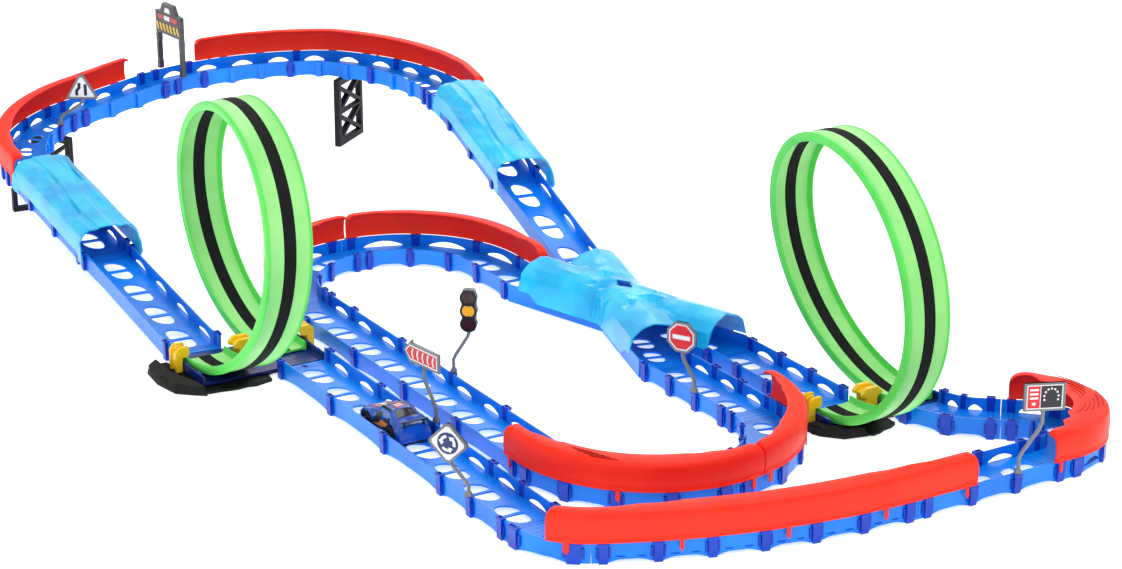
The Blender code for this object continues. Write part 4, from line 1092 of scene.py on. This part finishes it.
def gate():
    """Two stepped posts, a peaked header and a slanted-stripe board hung below it."""
    made = Build("dark_grey", "print_black", "yellow", "white", "print_red")
    s = S3 + 17
    x, y, h = RAISED_LINE.at(s)
    origin = Vector((x, y, RAISED_LINE.z(s) + WALL + 1.2))
    u = Vector((-math.sin(h), math.cos(h), 0))
    n = Vector((-u.y, u.x, 0)) * -1

    def shape(outline, front, thick, mat, holes=()):
        made.plate(list(outline), list(holes), lambda a, b, w: origin + u * a + Vector((0, 0, b))
                   + n * (front - thick * w), mat)

    outer = mirrored([(23.6, 44), (23.6, 32), (24.4, 30), (24.4, 12), (23.6, 10), (23.6, 0), (29, 0),
                      (29, 70), (18, 71), (12, 81)], 7)
    shape(outer, 2.6, 5.2, 0)
    for side in (-1, 1):
        for z0, z1, half in ((0, 8, 2.7), (12, 30, 1.7), (34, 42, 2.5)):
            mid = side * 26.4
            shape(box(mid - half, z0, mid + half, z1), 3.0, 6.0, 0)
    board = box(-27, 47.4, 27, 57.4)
    for face in (1, -1):
        def layer(outline, out, mat):
            if face > 0:
                shape(outline, out, 0.4, mat)
            else:
                shape(outline, 0.4 - out, 0.4, mat)
        layer(board, 2.8, 1)
        for k in range(7):
            a = -26.5 + 7.8 * k
            layer([(a, 48), (a + 3.6, 48), (a + 7.2, 56.8), (a + 3.6, 56.8)], 3.0, 2)
        layer(mirrored([(26, 59.6), (26, 68.4), (16.4, 69.2), (10.6, 78.6)], 1), 2.8, 1)
        for a0, a1, mat in ((-22, -8, 4), (-5, 8, 3), (11, 22, 4)):
            layer(box(a0, 61.4, a1, 66.6), 3.0, mat)
        layer([(-7, 70.6), (7, 70.6), (4.4, 76.4), (-4.4, 76.4)], 3.0, 3)
    made.piece("gate", body="gate_piece", nodes=("gate",), sharp=40)


# ---------------------------------------------------------------- the car
CAR_X, CAR_Y, WHEEL_R, ARCH_R, SILL = 231.0, Y_OUTER, 7.2, 9.2, 5.6
AXLE_Z = FLOOR + 0.15 + WHEEL_R
AXLES = (("front", CAR_X - 24), ("rear", CAR_X + 22))
# Place along the car, half width, roof height and shoulder height.
CAR_STATIONS = ((-39, 10.5, 14, 13.0), (-36, 15, 15, 15.5), (-22, 16.2, 19.5, 18.6),
                (-10, 14.6, 22, 21.5), (-2, 13.8, 28, 28.0), (14, 13.8, 29, 29.0),
                (24, 15.4, 24, 23.6), (33, 16.4, 21, 20.4), (38, 15, 20, 19.4))


def car_section(dx):
    """Half width, roof height and shoulder height of the shell at this place along it."""
    rows = CAR_STATIONS
    for (x0, *a), (x1, *b) in zip(rows, rows[1:]):
        if dx <= x1:
            t = (dx - x0) / (x1 - x0)
            t = t * t * (3 - 2 * t) * 0.6 + t * 0.4
            return [p + (q - p) * t for p, q in zip(a, b)]
    return list(rows[-1][1:])


def car_surface(dx, t, out=0.0):
    """The shell's skin: t 0 is the low edge of one side, 0.5 the roof's middle, 1 the other."""
    half, high, shoulder = car_section(dx)
    low = SILL
    for _name, ax in AXLES:
        d = abs(dx - (ax - CAR_X))
        if d < ARCH_R:
            low = max(low, AXLE_Z - 4 + math.sqrt(ARCH_R ** 2 - d * d) * 0.98)
    side = 1 if t < 0.5 else -1
    v = 1 - abs(2 * t - 1)
    belt = min(shoulder - 1.5, max(low + 1.0, 12.0))
    points = [(half - 0.4, low), (half + 0.5, (low + belt) / 2), (half + 0.5, belt),
              (half - 1.6, max(belt + 0.6, shoulder - 2.2)), (half - 3.6, max(belt + 1, shoulder)),
              (half - 6.2, high - 0.6), (half * 0.3, high + 0.1), (0, high + 0.2)]
    u = v * (len(points) - 1)
    i = min(int(u), len(points) - 2)
    f = u - i
    a = points[i][0] + (points[i + 1][0] - points[i][0]) * f
    b = points[i][1] + (points[i + 1][1] - points[i][1]) * f
    push = out / max(half, 1)
    return Vector((CAR_X + dx, CAR_Y + side * a * (1 + push), b + 4 + out * v))


def car_patch(made, dx0, dx1, t0, t1, mat, skew=0.0, out=0.22, steps=10):
    """A thin raised panel on the shell, such as a window or a printed stripe."""
    rows = []
    for i in range(steps + 1):
        row = []
        for j in range(steps + 1):
            t = t0 + (t1 - t0) * j / steps
            dx = dx0 + (dx1 - dx0) * i / steps + skew * (j / steps - 0.5)
            row.append((car_surface(dx, t, out), car_surface(dx, t, -0.5)))
        rows.append(row)
    n = steps + 1
    verts = [p[0] for row in rows for p in row] + [p[1] for row in rows for p in row]
    faces = []
    for i in range(steps):
        for j in range(steps):
            a = i * n + j
            faces.append((a, a + 1, a + n + 1, a + n))
            faces.append(tuple(k + n * n for k in (a + n, a + n + 1, a + 1, a)))
    rim = list(range(n)) + [i * n + steps for i in range(1, n)]
    rim += [steps * n + j for j in range(steps - 1, -1, -1)] + [i * n for i in range(steps - 1, 0, -1)]
    for a, b in zip(rim, rim[1:] + rim[:1]):
        faces.append((b, a, a + n * n, b + n * n))
    made.add(verts, faces, mat)


def car():
    """The car's shell with its windows, printed stripes, lamps and wing, then its wheels."""
    made = Build("car", "glass", "print_black", "orange", "white", "print_red", "rim")
    rings = []
    for k in range(78):
        dx = -39 + k
        rings.append([car_surface(dx, j / 44) for j in range(45)])
    made.loft(rings, 0)
    car_patch(made, -8, 1.5, 0.33, 0.67, 1)                     # windscreen
    car_patch(made, 16, 24, 0.35, 0.65, 1)                      # rear window
    for lo, hi, s in ((0.235, 0.325, 1), (0.675, 0.765, -1)):
        car_patch(made, -4, 14, lo, hi, 1, skew=-3.0 * s)       # side windows
    for s, e in ((0.03, 0.2), (0.8, 0.97)):
        car_patch(made, -13, -2, s, e, 2, skew=9 if s < 0.5 else -9)
        car_patch(made, -6, 7, s + 0.04, e - 0.05, 3, skew=12 if s < 0.5 else -12, out=0.34)
        car_patch(made, 2, 12, s + 0.02, e - 0.02, 2, skew=10 if s < 0.5 else -10, out=0.3)
    car_patch(made, -34, -12, 0.46, 0.54, 4, out=0.26)          # bonnet stripe
    car_patch(made, -34, -12, 0.40, 0.43, 3, out=0.26)
    car_patch(made, -34, -12, 0.57, 0.60, 3, out=0.26)
    car_patch(made, 2, 12, 0.42, 0.58, 5, skew=3, out=0.26)     # roof badge, plain bars
    car_patch(made, 4, 6, 0.44, 0.56, 4, out=0.36)
    car_patch(made, 8, 10, 0.44, 0.56, 4, out=0.36)
    for s, e in ((0.31, 0.37), (0.63, 0.69)):
        car_patch(made, -37, -33.6, s, e, 6, out=0.3, steps=4)  # lamps
    wing = [[(CAR_X + 33, CAR_Y + a, 27 + b) for a, b in
             ((-13, 0), (13, 0), (13, 0.9), (-13, 0.9))],
            [(CAR_X + 38.4, CAR_Y + a, 28.6 + b) for a, b in
             ((-13, 0), (13, 0), (13, 0.8), (-13, 0.8))]]
    made.loft(wing, 2)
    for side in (-1, 1):
        post = box(CAR_X + 34, CAR_Y + side * 9, CAR_X + 37, CAR_Y + side * 10)
        made.prism(post, 23.5, 27.8, 2)
    made.piece("car_body", body="car", nodes=("car_body",), sharp=38)
    for label, x in AXLES:
        wheels(label, x)


def wheels(label, x):
    """A pair of treaded tyres with spoked rims on an axle."""
    made = Build("tyre", "rim", "dark_grey")
    steps = 48

    def ring(r, a, treads=False):
        points = []
        for k in range(steps):
            t = 2 * math.pi * k / steps
            rr = r - (0.35 if treads and k % 3 == 0 else 0)
            points.append((x + rr * math.cos(t), CAR_Y + a, AXLE_Z + rr * math.sin(t)))
        return points

    for side in (-1, 1):
        profile = [(4.8, 11.4, 0), (6.6, 11.4, 0), (7.2, 12.0, 1), (7.2, 16.5, 1), (6.7, 17.2, 0),
                   (4.8, 17.3, 0)]
        made.loft([ring(r, side * a, tr) for r, a, tr in profile], 0)
        made.loft([ring(4.9, side * 12.0), ring(4.9, side * 16.8), ring(4.4, side * 17.2),
                   ring(4.0, side * 16.4)], 2)
        for k in range(5):
            t = 2 * math.pi * k / 5
            c, s = math.cos(t), math.sin(t)
            flat = [(0.6, -0.7), (4.6, -1.0), (4.6, 1.0), (0.6, 0.7)]
            spoke = [(x + r * c - w * s, r * s + w * c) for r, w in flat]
            made.loft([[(px, CAR_Y + side * a, AXLE_Z + pz) for px, pz in spoke]
                       for a in (16.2, 17.3)], 1)
        made.loft([ring(1.6, side * 15.8), ring(1.5, side * 17.5), ring(0.9, side * 17.6)], 1)
    made.loft([ring(1.2, -12), ring(1.2, 12)], 1)
    if label == "rear":
        gear = []
        for a in (-6.6, -4.4):
            gear.append([(x + (4.0 if k % 2 else 3.2) * math.cos(2 * math.pi * k / 24),
                          CAR_Y + a, AXLE_Z + (4.0 if k % 2 else 3.2)
                          * math.sin(2 * math.pi * k / 24)) for k in range(24)])
        made.loft(gear, 2)
    made.piece("car_wheels_" + label, body="car_" + label + "_axle",
               nodes=("car_wheels_" + label,), sharp=40)


# ---------------------------------------------------------------- putting it together
for row in TRACK:
    channel(*row)
crossing()
loop("loop_left", X_LOOP_LEFT, -72, -1, 133, 122.5, 13)
loop("loop_right", X_LOOP_RIGHT, 286, 1, 122, 118, -55)
deck("left", -30, 44, -107, 62)
deck("right", 385.4, 424, 321, 62)
base("left", [(-30, -33), (44, -33), (44, -102), (60, -105), (62, -150), (55, -178), (40, -196),
              (10, -201), (-20, -198), (-36, -186), (-35, -175), (-30, -173)],
     [(60, -172), (52, -182), (40, -195), (10, -200), (-20, -197), (-34, -185), (-33, -183.5),
      (8, -184.5), (10, -178.5), (22, -179), (44, -172)])
base("right", [(385.4, 396), (423.5, 396), (424, 325), (440, 322), (448, 290), (442, 262),
               (424, 247), (400, 243), (380, 247), (379, 253.5), (385.4, 255)],
     [(446, 285), (441, 263), (424, 248), (406, 244.5), (406, 255), (424, 257.4), (430, 262),
      (432, 284)])
latch("latch_left_near", X_LOOP_LEFT - 8, -169.6, -1)
latch("latch_left_far", X_LOOP_LEFT - 2, -44.4, 1)
latch("latch_right_near", X_LOOP_RIGHT - 8, 258.4, -1)
latch("latch_right_far", X_LOOP_RIGHT - 8, 383.6, 1)
middle_latch("left", X_LOOP_LEFT - 6, -107)
middle_latch("right", X_LOOP_RIGHT - 8, 321)
REAR_SEAM, FRONT_SEAM = RUN + QUARTER + 5, NEAR_RUN + QUARTER - 22
guard("guard_raised_left", RAISED_LINE, S1 - 42, S3 - 30)
guard("guard_raised_right", RAISED_LINE, S3 + 56, S4 + 46)
guard("guard_rear_left", INNER_LINE, RUN - 20, REAR_SEAM - 0.8)
guard("guard_rear_right", INNER_LINE, REAR_SEAM + 0.8, RUN + 2 * QUARTER + 62, ends=(7, 18))
guard("guard_front_right", FRONT_LINE, NEAR_RUN - 7, FRONT_SEAM - 0.8)
guard("guard_front_left", FRONT_LINE, FRONT_SEAM + 0.8, NEAR_RUN + 2 * QUARTER + 18, grooves=(0.6,))
guard("guard_corner_right", OUTER_LINE, EXIT_END + 6, CORNER_END + 16, wide=20, grooves=(0.35, 0.55),
      ends=(14, 7))
guard("guard_front_sweep", OUTER_LINE, SWEEP_START - 59, SWEEP_END + 23,
      pegs=(0.03, 0.26, 0.5, 0.74, 0.97), ends=(8, 8))
tunnel("tunnel_left", RAISED_LINE, S1 - 277, S1 - 55)
tunnel("tunnel_right", RAISED_LINE, S4 + 50, S4 + 236)
crossing_cover()
for support in ("trestle_right", "trestle_left", "support_low"):
    soften(support, "black")
signs()
gate()
car()
for inside, look in (("car_chassis", "black"), ("car_battery", "metal"), ("car_motor", "metal")):
    soften(inside, look, 0.3)


# ---------------------------------------------------------------- stage, light and camera
# Metres, degrees and millimetres of focal length.
FLOOR_SIZE, FLOOR_DROP = 9.0, 0.0003
CAMERA_AT, CAMERA_TURN, LENS = (2.2442, -1.2249, 0.9451), (70.12, 0, 58.77), 88.09


def studio():
    size = FLOOR_SIZE
    mesh = bpy.data.meshes.new("floor")
    mesh.from_pydata([(-size, -size, 0), (size, -size, 0), (size, size, 0), (-size, size, 0)], [],
                     [(0, 1, 2, 3)])
    floor = bpy.data.objects.new("floor", mesh)
    floor.location.z = -FLOOR_DROP
    bpy.context.scene.collection.objects.link(floor)
    paper = plastic("floor_paper", (0.92, 0.92, 0.92), (0.95, 0.95, 0.95), 0.9, coat=0.0, scale=2.0)
    shader = paper.node_tree.nodes["Principled BSDF"]
    shader.inputs["Emission Color"].default_value = (1.0, 1.0, 1.0, 1)
    shader.inputs["Emission Strength"].default_value = 0.6
    mesh.materials.append(paper)
    bpy.context.scene.view_settings.view_transform = "Standard"
    world = bpy.data.worlds.new("studio")
    world.use_nodes = True
    back = world.node_tree.nodes["Background"]
    back.inputs["Color"].default_value = (1.0, 1.0, 1.0, 1)
    back.inputs["Strength"].default_value = 0.85
    bpy.context.scene.world = world
    for name, place, aim, width, power in (
            ("key", (0.6, 0.5, 2.6), (0, 0, 0), 2.2, 30.0),
            ("fill", (2.4, -2.0, 1.8), (0, 0, 0), 1.8, 14.0),
            ("back", (-2.2, 1.6, 1.9), (0, 0, 0.05), 1.6, 14.0)):
        data = bpy.data.lights.new(name, "AREA")
        data.size, data.energy = width, power
        light = bpy.data.objects.new(name, data)
        light.location = place
        light.rotation_euler = (Vector(aim) - Vector(place)).to_track_quat("-Z", "Y").to_euler()
        bpy.context.scene.collection.objects.link(light)
    data = bpy.data.cameras.new("camera")
    data.lens, data.sensor_width = LENS, 36.0
    data.clip_start, data.clip_end = 0.05, 60.0
    camera = bpy.data.objects.new("camera", data)
    camera.location = CAMERA_AT
    camera.rotation_euler = [math.radians(a) for a in CAMERA_TURN]
    bpy.context.scene.collection.objects.link(camera)
    bpy.context.scene.camera = camera


studio()
